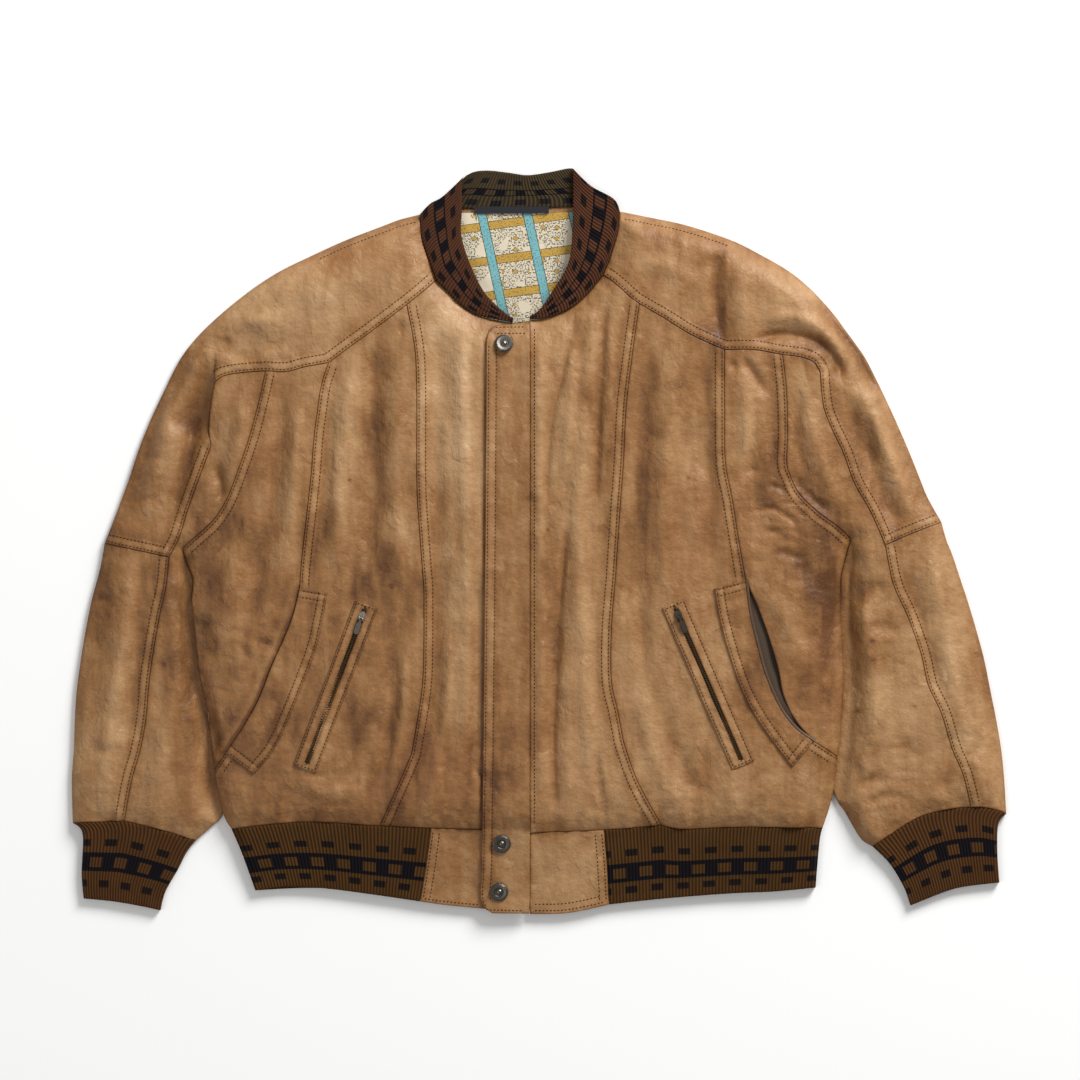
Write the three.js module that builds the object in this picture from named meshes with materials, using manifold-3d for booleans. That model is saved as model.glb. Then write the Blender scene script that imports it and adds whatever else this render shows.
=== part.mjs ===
// Worn leather blouson with knitted collar, cuffs and hem, laid flat with its front up.
// Millimetres, +Z up, +Y towards the collar. The seams are given as points [across, down] of a
// layout grid whose origin is at the top left, so that a point on a seam is written only once.
import * as THREE from 'three'
import { mergeVertices } from 'three/addons/utils/BufferGeometryUtils.js'
import Module from 'manifold-3d'

const STEP = 0.94            // mm in one step of the layout grid
const MIDDLE = [539.097, 541.267]  // grid point that lies at the origin
const GAP = 0.3              // between two pieces at a seam
const LEATHER = 2.0          // one panel with its lining
const KNIT = 3.0             // rib knit of hem and cuffs
const COLLAR = 4.4           // rib knit folded double
const BODY_TOP = 25          // highest part of the front over the floor
const SLEEVE_TOP = 17
const RIM = 4.6              // top of a front's edge where it lies on the back
const LIFT = 5.8             // the body's back where it lies over a sleeve
const SNAP = 17.4            // diameter of a snap cap
const PULL = 16              // length of a zip's pull tab

const wasm = await Module()
wasm.setup()

const jacket = new THREE.Group()
jacket.name = 'leather_jacket'

const tan = { color: 0xa4632f, roughness: 0.5, metalness: 0 }
const tanDark = { color: 0x8a4f27, roughness: 0.52, metalness: 0 }
const knit = { color: 0x6b4425, roughness: 0.95, metalness: 0 }
const knitDark = { color: 0x453021, roughness: 0.95, metalness: 0 }
const printed = { color: 0xc9bfa0, roughness: 0.85, metalness: 0 }
const black = { color: 0x17181c, roughness: 0.8, metalness: 0 }
const gunmetal = { color: 0x4a4742, roughness: 0.35, metalness: 1 }
const brass = { color: 0x6f6047, roughness: 0.4, metalness: 1 }

// Lines on the layout
const place = ([a, b]) => [(a - MIDDLE[0]) * STEP, (MIDDLE[1] - b) * STEP]
const clamp = (x, a = 0, b = 1) => Math.min(b, Math.max(a, x))
const smooth = t => { t = clamp(t); return t * t * (3 - 2 * t) }
const lerp = (a, b, t) => a + (b - a) * t

// a smooth line through the points, as a fine polyline in mm
function curve(points) {
  const p = points.map(place)
  if (p.length === 2) return p
  const out = []
  const n = p.length
  for (let k = 0; k < n - 1; k++) {
    const a = p[Math.max(k - 1, 0)], b = p[k], c = p[k + 1], d = p[Math.min(k + 2, n - 1)]
    for (let i = 0; i < 8; i++) {
      const t = i / 8
      out.push([0, 1].map(q => 0.5 * (2 * b[q] + (c[q] - a[q]) * t +
        (2 * a[q] - 5 * b[q] + 4 * c[q] - d[q]) * t * t +
        (3 * b[q] - a[q] - 3 * c[q] + d[q]) * t * t * t)))
    }
  }
  out.push(p[n - 1])
  return out
}

// n equal steps along a line
function steps(points, n) {
  const line = curve(points)
  const run = [0]
  for (let k = 1; k < line.length; k++) {
    run.push(run[k - 1] + Math.hypot(line[k][0] - line[k - 1][0], line[k][1] - line[k - 1][1]))
  }
  const out = []
  for (let i = 0, k = 0; i <= n; i++) {
    const s = run[run.length - 1] * i / n
    while (k < line.length - 2 && run[k + 1] < s) k++
    const t = clamp((s - run[k]) / (run[k + 1] - run[k]))
    out.push([lerp(line[k][0], line[k + 1][0], t), lerp(line[k][1], line[k + 1][1], t)])
  }
  return out
}
const join = (...lines) => lines.flatMap((l, k) => k ? l.slice(1) : l)
const back = line => [...line].reverse()

// distance from a line, and how far along it the nearest point is
function near(line, x, y) {
  let best = 1e9, at = 0, run = 0
  for (let k = 1; k < line.length; k++) {
    const [ax, ay] = line[k - 1], dx = line[k][0] - ax, dy = line[k][1] - ay
    const len = Math.hypot(dx, dy)
    const t = clamp(((x - ax) * dx + (y - ay) * dy) / (len * len))
    const d = Math.hypot(x - ax - t * dx, y - ay - t * dy)
    if (d < best) { best = d; at = run + t * len }
    run += len
  }
  return [best, at, run]
}

// The seams and edges. R is the wearer's right, on the left of the layout.
const L = {
  shoulderR: steps([[420, 214], [400, 219], [384, 225], [345, 240], [312, 255], [281, 270], [257, 285],
    [237, 300], [219, 315], [203, 330], [192, 342]], 17),
  upperR: steps([[192, 342], [179, 360], [164, 390], [150, 420], [138, 450], [128, 480], [117, 510],
    [104, 543]], 10),
  lowerR: steps([[104, 543], [99, 570], [91, 600], [85, 630], [80, 660], [76, 690], [74, 720],
    [73, 750], [71, 780], [72, 823]], 11),
  shoulderL: steps([[620, 211], [650, 217], [687, 225], [732, 240], [762, 255], [788, 270], [807, 285],
    [822, 300], [835, 315], [846, 330], [857, 345], [867, 360], [882, 390], [896, 420], [909, 450],
    [921, 480], [927, 495], [935, 510], [942, 522]], 25),
  lowerL: steps([[942, 522], [947, 540], [953, 555], [963, 585], [968, 600], [977, 630], [985, 660],
    [991, 690], [997, 720], [1002, 750], [1005, 780], [1007, 814]], 11),
  neckR: steps([[420, 214], [422, 239], [432, 268], [436, 280]], 6),
  neckFrontR: steps([[436, 280], [446, 290], [462, 306], [480, 316], [513, 323]], 5),
  neckL: steps([[620, 211], [618, 230], [612, 252], [603, 275]], 5),
  neckFrontL: steps([[531, 320], [553, 316], [575, 305], [591, 290], [603, 275]], 5),
  neckBack: steps([[420, 214], [440, 210], [462, 208], [491, 210], [527, 208], [569, 207], [600, 208],
    [620, 211]], 10),
  yokeAR: steps([[436, 280], [424, 291], [407, 305]], 2),
  yokeBR: steps([[407, 305], [375, 329], [349, 348], [329, 363]], 6),
  yokeCR: steps([[329, 363], [306, 367], [286, 372], [266, 371]], 3),
  yokeDR: steps([[266, 371], [241, 373], [224, 376], [215, 382]], 6),
  yokeAL: steps([[603, 275], [612, 281], [631, 298], [639, 304]], 2),
  yokeBL: steps([[639, 304], [665, 319], [691, 335], [724, 350]], 6),
  yokeCL: steps([[724, 350], [754, 350], [782, 355]], 3),
  yokeDL: steps([[782, 355], [799, 357], [813, 362], [820, 372]], 6),
  foldTop: steps([[192, 342], [215, 349]], 4),
  foldA: steps([[215, 349], [216, 365], [215, 382]], 2),
  foldB: steps([[215, 382], [211, 405], [209, 430], [211, 446]], 3),
  sleeveR: steps([[211, 446], [198, 481], [187, 512], [179, 538], [169, 557]], 5),
  sleeveLowR: steps([[169, 557], [166, 587], [159, 619], [150, 674], [146, 718], [140, 751],
    [132, 779], [124, 821]], 11),
  sleeveL: steps([[820, 372], [821, 390], [824, 410], [832, 430], [843, 453], [854, 483], [870, 511],
    [885, 545]], 8),
  sleeveLowL: steps([[885, 545], [893, 584], [907, 615], [921, 654], [928, 685], [941, 713],
    [952, 749], [963, 775], [971, 807]], 11),
  elbowR: steps([[104, 543], [136, 550], [169, 557]], 4),
  elbowL: steps([[885, 545], [913, 533], [942, 522]], 5),
  armholeR: steps([[266, 371], [259, 402], [250, 436], [240, 466], [227, 499], [213, 521], [193, 539],
    [182, 549]], 8),
  armholeL: steps([[782, 355], [786, 392], [787, 434], [786, 463], [790, 476], [798, 493], [817, 512],
    [836, 526], [851, 539]], 8),
  pitR: steps([[182, 549], [187, 564], [193, 579], [191, 600]], 3),
  pitL: steps([[851, 539], [845, 560], [841, 578], [841, 600]], 3),
  sideR: steps([[191, 600], [195, 640], [199, 674], [207, 711], [211, 747], [214, 770]], 5),
  sideL: steps([[841, 600], [841, 620], [844, 676], [841, 733], [838, 757]], 5),
  sideLowR: steps([[214, 770], [217, 790], [224, 817], [231, 829]], 4),
  sideLowL: steps([[838, 757], [836, 775], [831, 803], [823, 828]], 4),
  innerR: steps([[191, 600], [203, 650], [215, 700], [226, 750], [228, 785], [222, 815], [211, 827],
    [195, 841]], 8),
  innerL: steps([[841, 600], [835, 640], [829, 690], [825, 735], [828, 775], [837, 800], [845, 812],
    [853, 826], [862, 840], [873, 847]], 8),
  princessR: [
    steps([[407, 305], [413, 336], [416, 361], [417, 402], [417, 484], [420, 535], [424, 587]], 9),
    steps([[424, 587], [424, 642], [422, 690], [412, 753]], 7),
    steps([[412, 753], [405, 770]], 3),
    steps([[405, 770], [396, 790], [380, 826]], 4)],
  princessL: [
    steps([[639, 304], [632, 355], [626, 405], [623, 463], [619, 518], [615, 580]], 9),
    steps([[615, 580], [611, 629], [611, 680], [617, 709], [623, 741]], 7),
    steps([[623, 741], [628, 757]], 3),
    steps([[628, 757], [639, 785], [661, 825]], 4)],
  seamR: steps([[329, 363], [322, 384], [318, 409], [314, 441], [311, 479], [302, 560], [300, 588]], 9),
  seamL: steps([[724, 350], [724, 415], [725, 463], [732, 501], [738, 539], [745, 580]], 9),
  mouthR: steps([[300, 588], [294, 613], [287, 632], [272, 666], [255, 707], [226, 753]], 7),
  mouthL: steps([[745, 580], [749, 613], [758, 650], [765, 675], [779, 707], [795, 728], [813, 741]], 7),
  gapeL: steps([[745, 580], [761, 606], [772, 636], [781, 670], [784, 695], [795, 720], [813, 741]], 7),
  bandR: steps([[226, 753], [214, 770]], 3),
  bandL: steps([[813, 741], [838, 757]], 3),
  frontR: [steps([[513, 323], [513, 587]], 9), steps([[513, 587], [512, 753]], 7),
    steps([[512, 753], [512, 770]], 3), steps([[512, 770], [511, 830]], 4)],
  frontL: [steps([[531, 320], [531, 580]], 9), steps([[531, 580], [531, 741]], 7),
    steps([[531, 741], [531, 757]], 3), steps([[531, 757], [531, 833]], 4)],
  hemSideR: steps([[231, 829], [275, 824], [318, 822], [380, 826]], 6),
  hemRibR: steps([[380, 826], [431, 828]], 2),
  hemTabR: steps([[431, 828], [511, 830]], 5),
  hemTabL: steps([[531, 833], [604, 830]], 5),
  hemRibL: steps([[604, 830], [630, 828], [661, 825]], 2),
  hemSideL: steps([[661, 825], [685, 829], [738, 827], [823, 828]], 6),
  cuffSeamR: steps([[72, 823], [124, 821]], 4),
  cuffSeamInR: steps([[124, 821], [153, 828], [178, 835], [195, 841]], 6),
  cuffSeamInL: steps([[873, 847], [890, 835], [918, 818], [945, 810], [971, 807]], 6),
  cuffSeamL: steps([[971, 807], [988, 808], [1007, 814]], 5),
}

// Heights of the front over the floor
const outerR = join(L.shoulderR, L.upperR, L.lowerR), outerL = join(L.shoulderL, L.lowerL)
const bodySideR = join(L.pitR, L.sideR, L.sideLowR), bodySideL = join(L.pitL, L.sideL, L.sideLowL)
const sleeveInR = L.innerR, sleeveInL = L.innerL
const neckLine = join(L.neckR, L.neckFrontR, back(L.neckFrontL.slice(1, 5)), back(L.neckL))
const hemLine = join(L.hemSideR, L.hemRibR, L.hemTabR, L.hemTabL, L.hemRibL, L.hemSideL)
const cuffLineR = join(L.cuffSeamR, L.cuffSeamInR), cuffLineL = join(L.cuffSeamInL, L.cuffSeamL)
const foldLine = join(L.foldA, L.foldB)

const roll = t => t >= 1 ? 1 : 1 - (1 - Math.max(t, 0)) ** 2.4   // a rounded edge
const lower = (a, b, k = 4) => {                                  // the lower of two, blended
  const h = clamp(0.5 + 0.5 * (b - a) / k)
  return lerp(b, a, h) - k * h * (1 - h)
}
const height = x => lerp(BODY_TOP, SLEEVE_TOP, smooth((Math.abs(x) - 215) / 130))

// broad folds: points, depth (below zero is a trough), width
const folds = [
  [[[688, 424], [694, 452], [703, 484]], -4, 16],
  [[[660, 400], [664, 440], [672, 480]], 2, 18],
  [[[727, 246], [716, 269], [716, 305], [724, 341]], -3.5, 13],
  [[[813, 294], [834, 323], [857, 351], [868, 373], [874, 394]], -3.5, 14],
  [[[754, 334], [781, 330], [807, 334], [825, 344], [834, 359], [843, 380]], -3, 12],
  [[[752, 470], [770, 500], [800, 540]], 3, 15],
  [[[735, 440], [752, 480], [766, 530]], -3, 12],
  [[[196, 330], [215, 333], [245, 345], [262, 350]], -4, 14],
  [[[218, 462], [222, 480], [224, 500]], -3, 12],
  [[[560, 560], [556, 640], [554, 740], [556, 813]], -2, 12],
  [[[480, 400], [470, 500], [455, 600]], 1.5, 30],
  [[[350, 420], [352, 500], [345, 560]], -1.5, 26],
  [[[240, 560], [250, 620], [246, 680]], 2, 24],
  [[[760, 560], [800, 600], [815, 680]], 2, 22],
  [[[90, 640], [120, 660], [150, 655]], -2, 13],
  [[[88, 700], [118, 722], [140, 720]], -2, 12],
  [[[1000, 760], [975, 742], [955, 745]], -2, 12],
  [[[950, 600], [930, 620], [912, 612]], -2, 12],
].map(([points, depth, width]) => ({ line: curve(points), depth, width }))

function folding(x, y) {
  let z = 0
  for (const f of folds) {
    const [d, at, run] = near(f.line, x, y)
    if (d < 3 * f.width) z += f.depth * Math.exp(-((d / f.width) ** 2)) * smooth(Math.min(at, run - at) / 30 + 0.35)
  }
  return z
}
const sideOf = x => x < 0 ? bodySideR : bodySideL
const edgeHere = (along, floor) => lerp(8, floor, smooth(along / 30))

// the fold that drops from the yoke to the sleeve on the right shoulder
const foldAt = (x, y) => {
  const [d, at, run] = near(foldLine, x, y)
  return [d, smooth(at / 35 + 0.25) * smooth((run - at) / 40)]
}

// body front, yokes and the sleeves above the armpit
function frontZ(x, y) {
  const top = height(x)
  const [dOut] = near(x < 0 ? outerR : outerL, x, y)
  const [dSide, along] = near(sideOf(x), x, y)
  const [dNeck] = near(neckLine, x, y)
  const [dHem] = near(hemLine, x, y)
  const edge = edgeHere(along, lerp(10.6, 7.4, smooth((along - 235) / 40)))
  let z = RIM + (top - RIM) * roll(dOut / 34)
  z = lower(z, edge + (top - edge) * roll(dSide / 32))
  z = lower(z, 13 + (top - 13) * roll(dNeck / 45))
  z = lower(z, 14.5 + (top - 14.5) * roll(dHem / 45))
  const calm = smooth(Math.min(dOut, dSide, dNeck, dHem) / 30 + 0.1)
  z += folding(x, y) * calm
  return z
}
const yokeZ = (x, y) => {
  const [d, on] = foldAt(x, y)
  return frontZ(x, y) + (x < 0 ? 3.5 * on * Math.exp(-((d / 26) ** 2)) : 0)
}
const upperZ = (x, y) => {
  const [d, on] = foldAt(x, y)
  return frontZ(x, y) - (x < 0 ? 5.5 * on * Math.exp(-((d / 24) ** 2)) : 0)
}
// the sleeves: low where the body lies on them
function sleeveZ(x, y) {
  const [dSide, along] = near(sideOf(x), x, y)
  const low = edgeHere(along, 4.8)
  const under = x < 0 ? insideR(x, y) : insideL(x, y)
  const [dOut] = near(x < 0 ? outerR : outerL, x, y)
  const [dCuff] = near(x < 0 ? cuffLineR : cuffLineL, x, y)
  const [dIn] = near(x < 0 ? sleeveInR : sleeveInL, x, y)
  let z = RIM + (SLEEVE_TOP - RIM) * roll(dOut / 30)
  const clear = under ? 0 : Math.max(0, dSide - 8 * smooth(along / 20))
  z = lower(z, low + (SLEEVE_TOP - low) * roll(clear / 26), 2)
  if (along > 100) z = lower(z, RIM + (SLEEVE_TOP - RIM) * roll(dIn / 26), 2)
  z = lower(z, 10.5 + (SLEEVE_TOP - 10.5) * roll(dCuff / 40), 2)
  const calm = smooth(Math.min(dOut, clear, dCuff) / 26)
  return z + folding(x, y) * calm
}
// sleeve heights join the front's above the armpit
const join2 = (x, y) => {
  const down = place([0, x < 0 ? 549 : 539])[1]
  return smooth((down + 45 - y) / 60)
}
const lowZ = (x, y) => lerp(yokeZ(x, y), sleeveZ(x, y), join2(x, y))
const outZ = (x, y) => lerp(upperZ(x, y), sleeveZ(x, y), join2(x, y))

// inside the part of a sleeve that the body covers
const acrossAt = (line, y) => {
  let k = 1
  while (k < line.length - 1 && line[k][1] > y) k++
  const t = clamp((line[k - 1][1] - y) / (line[k - 1][1] - line[k][1] || 1))
  return lerp(line[k - 1][0], line[k][0], t)
}
const insideR = (x, y) => y < L.pitR[0][1] && y > bodySideR.at(-1)[1] && x > acrossAt(bodySideR, y)
const insideL = (x, y) => y < L.pitL[0][1] && y > bodySideL.at(-1)[1] && x < acrossAt(bodySideL, y)

// how high the back of the body lies, over a sleeve and beside it
function lift(x, y) {
  const right = x < 0
  const hidden = right ? join(L.pitR, L.innerR) : join(L.pitL, L.innerL)
  const [d, at] = near(hidden, x, y)
  const edge = acrossAt(hidden, Math.max(y, place([0, right ? 800 : 790])[1]))
  const beyond = right ? x > edge : x < edge
  const away = beyond ? d : 0
  const start = smooth((at - 4) / 26)
  const end = smooth((place([0, right ? 833 : 822])[1] - y) / -14)
  return LIFT * start * end * (1 - smooth((away - 3) / 20))
}
const onBack = (x, y) => lift(x, y) + LEATHER + 0.5

// A closed sheet between four lines of points, from its top height down to its lower one
function sheet(name, look, edges, top, bottom) {
  let { top: T, bottom: B, left: A, right: C } = edges
  const m = T.length - 1, n = A.length - 1
  if (B.length !== m + 1 || C.length !== n + 1) throw new Error(name + ' has uneven edges')
  // half the seam gap, inwards all round
  const ring = [...T.slice(0, m), ...C.slice(0, n), ...back(B).slice(0, m), ...back(A).slice(0, n)]
  const moved = inset(ring, GAP / 2)
  T = moved.slice(0, m + 1)
  C = moved.slice(m, m + n + 1)
  B = back(moved.slice(m + n, 2 * m + n + 1))
  A = back([...moved.slice(2 * m + n), moved[0]])
  const u = evenShare(T, B), v = evenShare(A, C)
  const points = []
  for (let j = 0; j <= n; j++) {
    for (let i = 0; i <= m; i++) {
      const p = [0, 1].map(q =>
        (1 - v[j]) * T[i][q] + v[j] * B[i][q] + (1 - u[i]) * A[j][q] + u[i] * C[j][q] -
        (1 - u[i]) * (1 - v[j]) * T[0][q] - u[i] * (1 - v[j]) * T[m][q] -
        (1 - u[i]) * v[j] * B[0][q] - u[i] * v[j] * B[m][q])
      if (j === 0) points.push(T[i])
      else if (j === n) points.push(B[i])
      else points.push(i === 0 ? A[j] : i === m ? C[j] : p)
    }
  }
  const zTop = points.map(([x, y]) => top(x, y))
  const zLow = points.map(([x, y], k) => Math.min(bottom(x, y, zTop[k], k), zTop[k] - 0.8))
  return solid(name, look, points, zTop, zLow, m, n)
}

function solid(name, look, points, zTop, zLow, m, n) {
  const count = points.length, tri = [], at = (j, i) => j * (m + 1) + i
  const upper = []
  for (let j = 0; j < n; j++) {
    for (let i = 0; i < m; i++) {
      const a = at(j, i), b = at(j, i + 1), c = at(j + 1, i + 1), d = at(j + 1, i)
      if (Math.abs(zTop[a] - zTop[c]) <= Math.abs(zTop[b] - zTop[d])) upper.push([a, d, c], [a, c, b])
      else upper.push([a, d, b], [b, d, c])
    }
  }
  for (const [a, b, c] of upper) tri.push(a, b, c, a + count, c + count, b + count)
  const rim = []
  for (let i = 0; i < m; i++) rim.push(at(0, i))
  for (let j = 0; j < n; j++) rim.push(at(j, m))
  for (let i = m; i > 0; i--) rim.push(at(n, i))
  for (let j = n; j > 0; j--) rim.push(at(j, 0))
  rim.forEach((p, k) => {
    const q = rim[(k + 1) % rim.length]
    tri.push(p, q, q + count, p, q + count, p + count)
  })
  const position = []
  points.forEach(([x, y], k) => position.push(x, y, zTop[k]))
  points.forEach(([x, y], k) => position.push(x, y, zLow[k]))
  const shape = new THREE.BufferGeometry()
  shape.setAttribute('position', new THREE.Float32BufferAttribute(position, 3))
  shape.setIndex(tri)
  add(name, shape, look)
  return { points, zTop, zLow, upper, m, n }
}

function add(name, shape, look) {
  shape.computeVertexNormals()
  const mesh = new THREE.Mesh(shape, new THREE.MeshStandardMaterial({ ...look, flatShading: true }))
  mesh.name = name
  jacket.add(mesh)
  return mesh
}

function inset(ring, d) {
  let area = 0
  const n = ring.length
  ring.forEach(([x, y], k) => { const [a, b] = ring[(k + 1) % n]; area += x * b - a * y })
  const turn = area > 0 ? 1 : -1
  return ring.map((p, k) => {
    const before = ring[(k + n - 1) % n], after = ring[(k + 1) % n]
    const one = unit(p[0] - before[0], p[1] - before[1]), two = unit(after[0] - p[0], after[1] - p[1])
    const nx = -(one[1] + two[1]) * turn, ny = (one[0] + two[0]) * turn
    const len = Math.hypot(nx, ny) || 1
    const cos = Math.max(0.5, len / 2)
    return [p[0] + nx / len * d / cos, p[1] + ny / len * d / cos]
  })
}
const unit = (x, y) => { const r = Math.hypot(x, y) || 1; return [x / r, y / r] }

function evenShare(one, two) {
  const share = line => {
    const run = [0]
    for (let k = 1; k < line.length; k++) {
      run.push(run[k - 1] + Math.hypot(line[k][0] - line[k - 1][0], line[k][1] - line[k - 1][1]))
    }
    return run.map(r => r / run.at(-1))
  }
  const a = share(one), b = share(two)
  return a.map((t, k) => (t + b[k]) / 2)
}

// height of a finished sheet's upper face at a point, or nothing beside it
function faceZ(sheets, x, y) {
  let best = -1e9
  for (const s of sheets) {
    for (const [a, b, c] of s.upper) {
      const [ax, ay] = s.points[a], [bx, by] = s.points[b], [cx, cy] = s.points[c]
      if (x < Math.min(ax, bx, cx) || x > Math.max(ax, bx, cx)) continue
      if (y < Math.min(ay, by, cy) || y > Math.max(ay, by, cy)) continue
      const det = (by - cy) * (ax - cx) + (cx - bx) * (ay - cy)
      if (Math.abs(det) < 1e-9) continue
      const p = ((by - cy) * (x - cx) + (cx - bx) * (y - cy)) / det
      const q = ((cy - ay) * (x - cx) + (ax - cx) * (y - cy)) / det
      if (p < -1e-6 || q < -1e-6 || p + q > 1 + 1e-6) continue
      best = Math.max(best, p * s.zTop[a] + q * s.zTop[b] + (1 - p - q) * s.zTop[c])
    }
  }
  return best
}

// a strip lying on other sheets: its lower face clears them everywhere
function laid(name, look, edges, under, thick, clear = GAP, spare = frontZ) {
  const m = edges.top.length - 1, n = edges.left.length - 1
  const probe = { points: null }
  const plan = []
  const collect = (x, y) => { plan.push([x, y]); return 0 }
  const keep = jacket.children.length
  sheet(name, look, edges, collect, () => -1)
  jacket.remove(jacket.children[keep])
  probe.points = plan
  const ground = (x, y) => { const z = faceZ(under, x, y); return z > -1e8 ? z : spare(x, y) }
  const low = plan.map(([x, y]) => ground(x, y) + clear)
  for (let round = 0; round < 4; round++) {
    for (let j = 0; j < n; j++) {
      for (let i = 0; i < m; i++) {
        const c = [j * (m + 1) + i, j * (m + 1) + i + 1, (j + 1) * (m + 1) + i, (j + 1) * (m + 1) + i + 1]
        let need = 0
        for (let a = 0; a <= 8; a++) {
          for (let b = 0; b <= 8; b++) {
            const w = [(1 - a / 8) * (1 - b / 8), a / 8 * (1 - b / 8), (1 - a / 8) * b / 8, a * b / 64]
            const mix = f => c.reduce((s, k, q) => s + w[q] * f(k), 0)
            const g = faceZ(under, mix(k => plan[k][0]), mix(k => plan[k][1]))
            if (g > -1e8) need = Math.max(need, g + clear - mix(k => low[k]))
          }
        }
        if (need > 0) c.forEach(k => { low[k] += need })
      }
    }
  }
  return solid(name, look, plan, low.map(z => z + thick), low, m, n)
}

// Back of the body and of the sleeves, flat on the floor and lifted over the covered sleeve edges
const wallBelow = (floor, wall) => (x, y, z) => Math.max(floor(x, y), z - wall)
const flat = z => () => z
const few = (line, n) => {
  const out = []
  for (let i = 0; i <= n; i++) out.push(line[Math.round(i * (line.length - 1) / n)])
  return out
}
const rearR = steps([[257, 285], [262, 330], [266, 371]], 2)
const rearL = steps([[790, 271], [786, 315], [782, 355]], 2)
const cut = (line, x) => line.findIndex((p, k) => k && Math.abs(p[0]) > Math.abs(place([x, 0])[0]))
const splitR = cut(L.shoulderR, 257), splitL = cut(L.shoulderL, 790)
rearR[0] = L.shoulderR[splitR]
rearL[0] = L.shoulderL[splitL]
const downR = few(L.shoulderR.slice(0, splitR + 1), 4), downL = few(L.shoulderL.slice(0, splitL + 1), 4)
const rearSideR = join(rearR, few(L.armholeR, 4)), rearSideL = join(rearL, few(L.armholeL, 4))
const columns = [0, 0.018, 0.036, 0.056, 0.08, 0.5, 0.92, 0.944, 0.964, 0.982, 1]
const atShares = (line, shares) => {
  const fine = line.length > 2 ? line : steps2(line, 60)
  const run = [0]
  for (let k = 1; k < fine.length; k++) {
    run.push(run[k - 1] + Math.hypot(fine[k][0] - fine[k - 1][0], fine[k][1] - fine[k - 1][1]))
  }
  return shares.map(s => {
    const want = s * run.at(-1)
    let k = 1
    while (k < run.length - 1 && run[k] < want) k++
    const t = clamp((want - run[k - 1]) / (run[k] - run[k - 1]))
    return [lerp(fine[k - 1][0], fine[k][0], t), lerp(fine[k - 1][1], fine[k][1], t)]
  })
}
const steps2 = ([a, b], n) => Array.from({ length: n + 1 }, (_, i) => [lerp(a[0], b[0], i / n), lerp(a[1], b[1], i / n)])
const backTop = L.neckBack
const backHem = atShares(hemLine, columns)
const backLift = (x, y) => lift(x, y)
sheet('back_body', tanDark, {
  top: backTop, bottom: backHem,
  left: join(downR, rearSideR, bodySideR), right: join(downL, rearSideL, bodySideL),
}, (x, y) => backLift(x, y) + LEATHER, backLift)

const sleeveBack = (name, outer, rear, inner, cuffLine, across) => {
  const hidden = join(rear, inner)
  const n = hidden.length - 1
  const edge = atShares(outer, Array.from({ length: n + 1 }, (_, i) => i / n))
  const right = name.startsWith('right')
  const topLine = steps2([edge[0], hidden[0]], across)
  const bottomLine = few(cuffLine, across)
  return sheet(name, tanDark, right
    ? { top: topLine, bottom: bottomLine, left: edge, right: hidden }
    : { top: back(topLine), bottom: bottomLine, left: hidden, right: edge }, flat(LEATHER), flat(0))
}
const sleeveRearR = join(L.shoulderR.slice(splitR + 1), L.upperR, L.lowerR)
const sleeveRearL = join(L.shoulderL.slice(splitL + 1), L.lowerL)
sleeveBack('right_sleeve_back', sleeveRearR, rearSideR, join(L.pitR, L.innerR), cuffLineR, 2)
sleeveBack('left_sleeve_back', sleeveRearL, rearSideL, join(L.pitL, L.innerL), cuffLineL, 2)

// Fronts, yokes and sleeves
const onBody = wallBelow(onBack, LEATHER * 1.15)
const onSleeve = wallBelow(flat(LEATHER + 0.4), LEATHER * 1.15)
const onFold = (x, y, z) => {
  const [d, on] = foldAt(x, y)
  const wall = onBody(x, y, z)
  return x < 0 && d < 1.2 && on > 0.05 ? Math.min(wall, upperZ(x, y) - LEATHER) : wall
}
const centreR = sheet('right_front_center', tan, {
  top: join(back(L.yokeAR), L.neckFrontR), bottom: join(L.hemRibR, L.hemTabR),
  left: join(...L.princessR), right: join(...L.frontR),
}, frontZ, onBody)
const centreL = sheet('left_front_center', tan, {
  top: join(L.neckFrontL, L.yokeAL), bottom: join(L.hemTabL, L.hemRibL),
  left: join(...L.frontL), right: join(...L.princessL),
}, frontZ, onBody)
const midR = sheet('right_front_mid', tan, {
  top: back(L.yokeBR), bottom: L.hemSideR,
  left: join(L.seamR, L.mouthR, L.bandR, L.sideLowR), right: join(...L.princessR),
}, frontZ, onBody)
const midL = sheet('left_front_mid', tan, {
  top: L.yokeBL, bottom: L.hemSideL,
  left: join(...L.princessL), right: join(L.seamL, L.mouthL, L.bandL, L.sideLowL),
}, frontZ, onBody)
const sideR = sheet('right_front_side', tan, {
  top: back(L.yokeCR), bottom: back(L.bandR),
  left: join(L.armholeR, L.pitR, L.sideR), right: join(L.seamR, L.mouthR),
}, frontZ, onBody)
const sideL = sheet('left_front_side', tan, {
  top: L.yokeCL, bottom: L.bandL,
  left: join(L.seamL, L.gapeL), right: join(L.armholeL, L.pitL, L.sideL),
}, frontZ, onBody)
const yoke = sheet('right_yoke', tan, {
  top: back(L.shoulderR), bottom: back(join(L.yokeAR, L.yokeBR, L.yokeCR, L.yokeDR)),
  left: join(L.foldTop, L.foldA), right: L.neckR,
}, yokeZ, onFold)
sheet('right_sleeve_top', tan, {
  top: L.foldTop, bottom: L.elbowR, left: L.upperR, right: join(L.foldA, L.foldB, L.sleeveR),
}, outZ, onSleeve)
sheet('right_sleeve_under', tan, {
  top: back(L.yokeDR), bottom: L.cuffSeamInR,
  left: join(L.foldB, L.sleeveR, L.sleeveLowR), right: join(L.armholeR, L.pitR, L.innerR),
}, lowZ, (x, y, z) => Math.max(LEATHER + 0.4, onFold(x, y, z) > 8 ? onFold(x, y, z) : Math.min(onFold(x, y, z), z - LEATHER * 1.1)))
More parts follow.
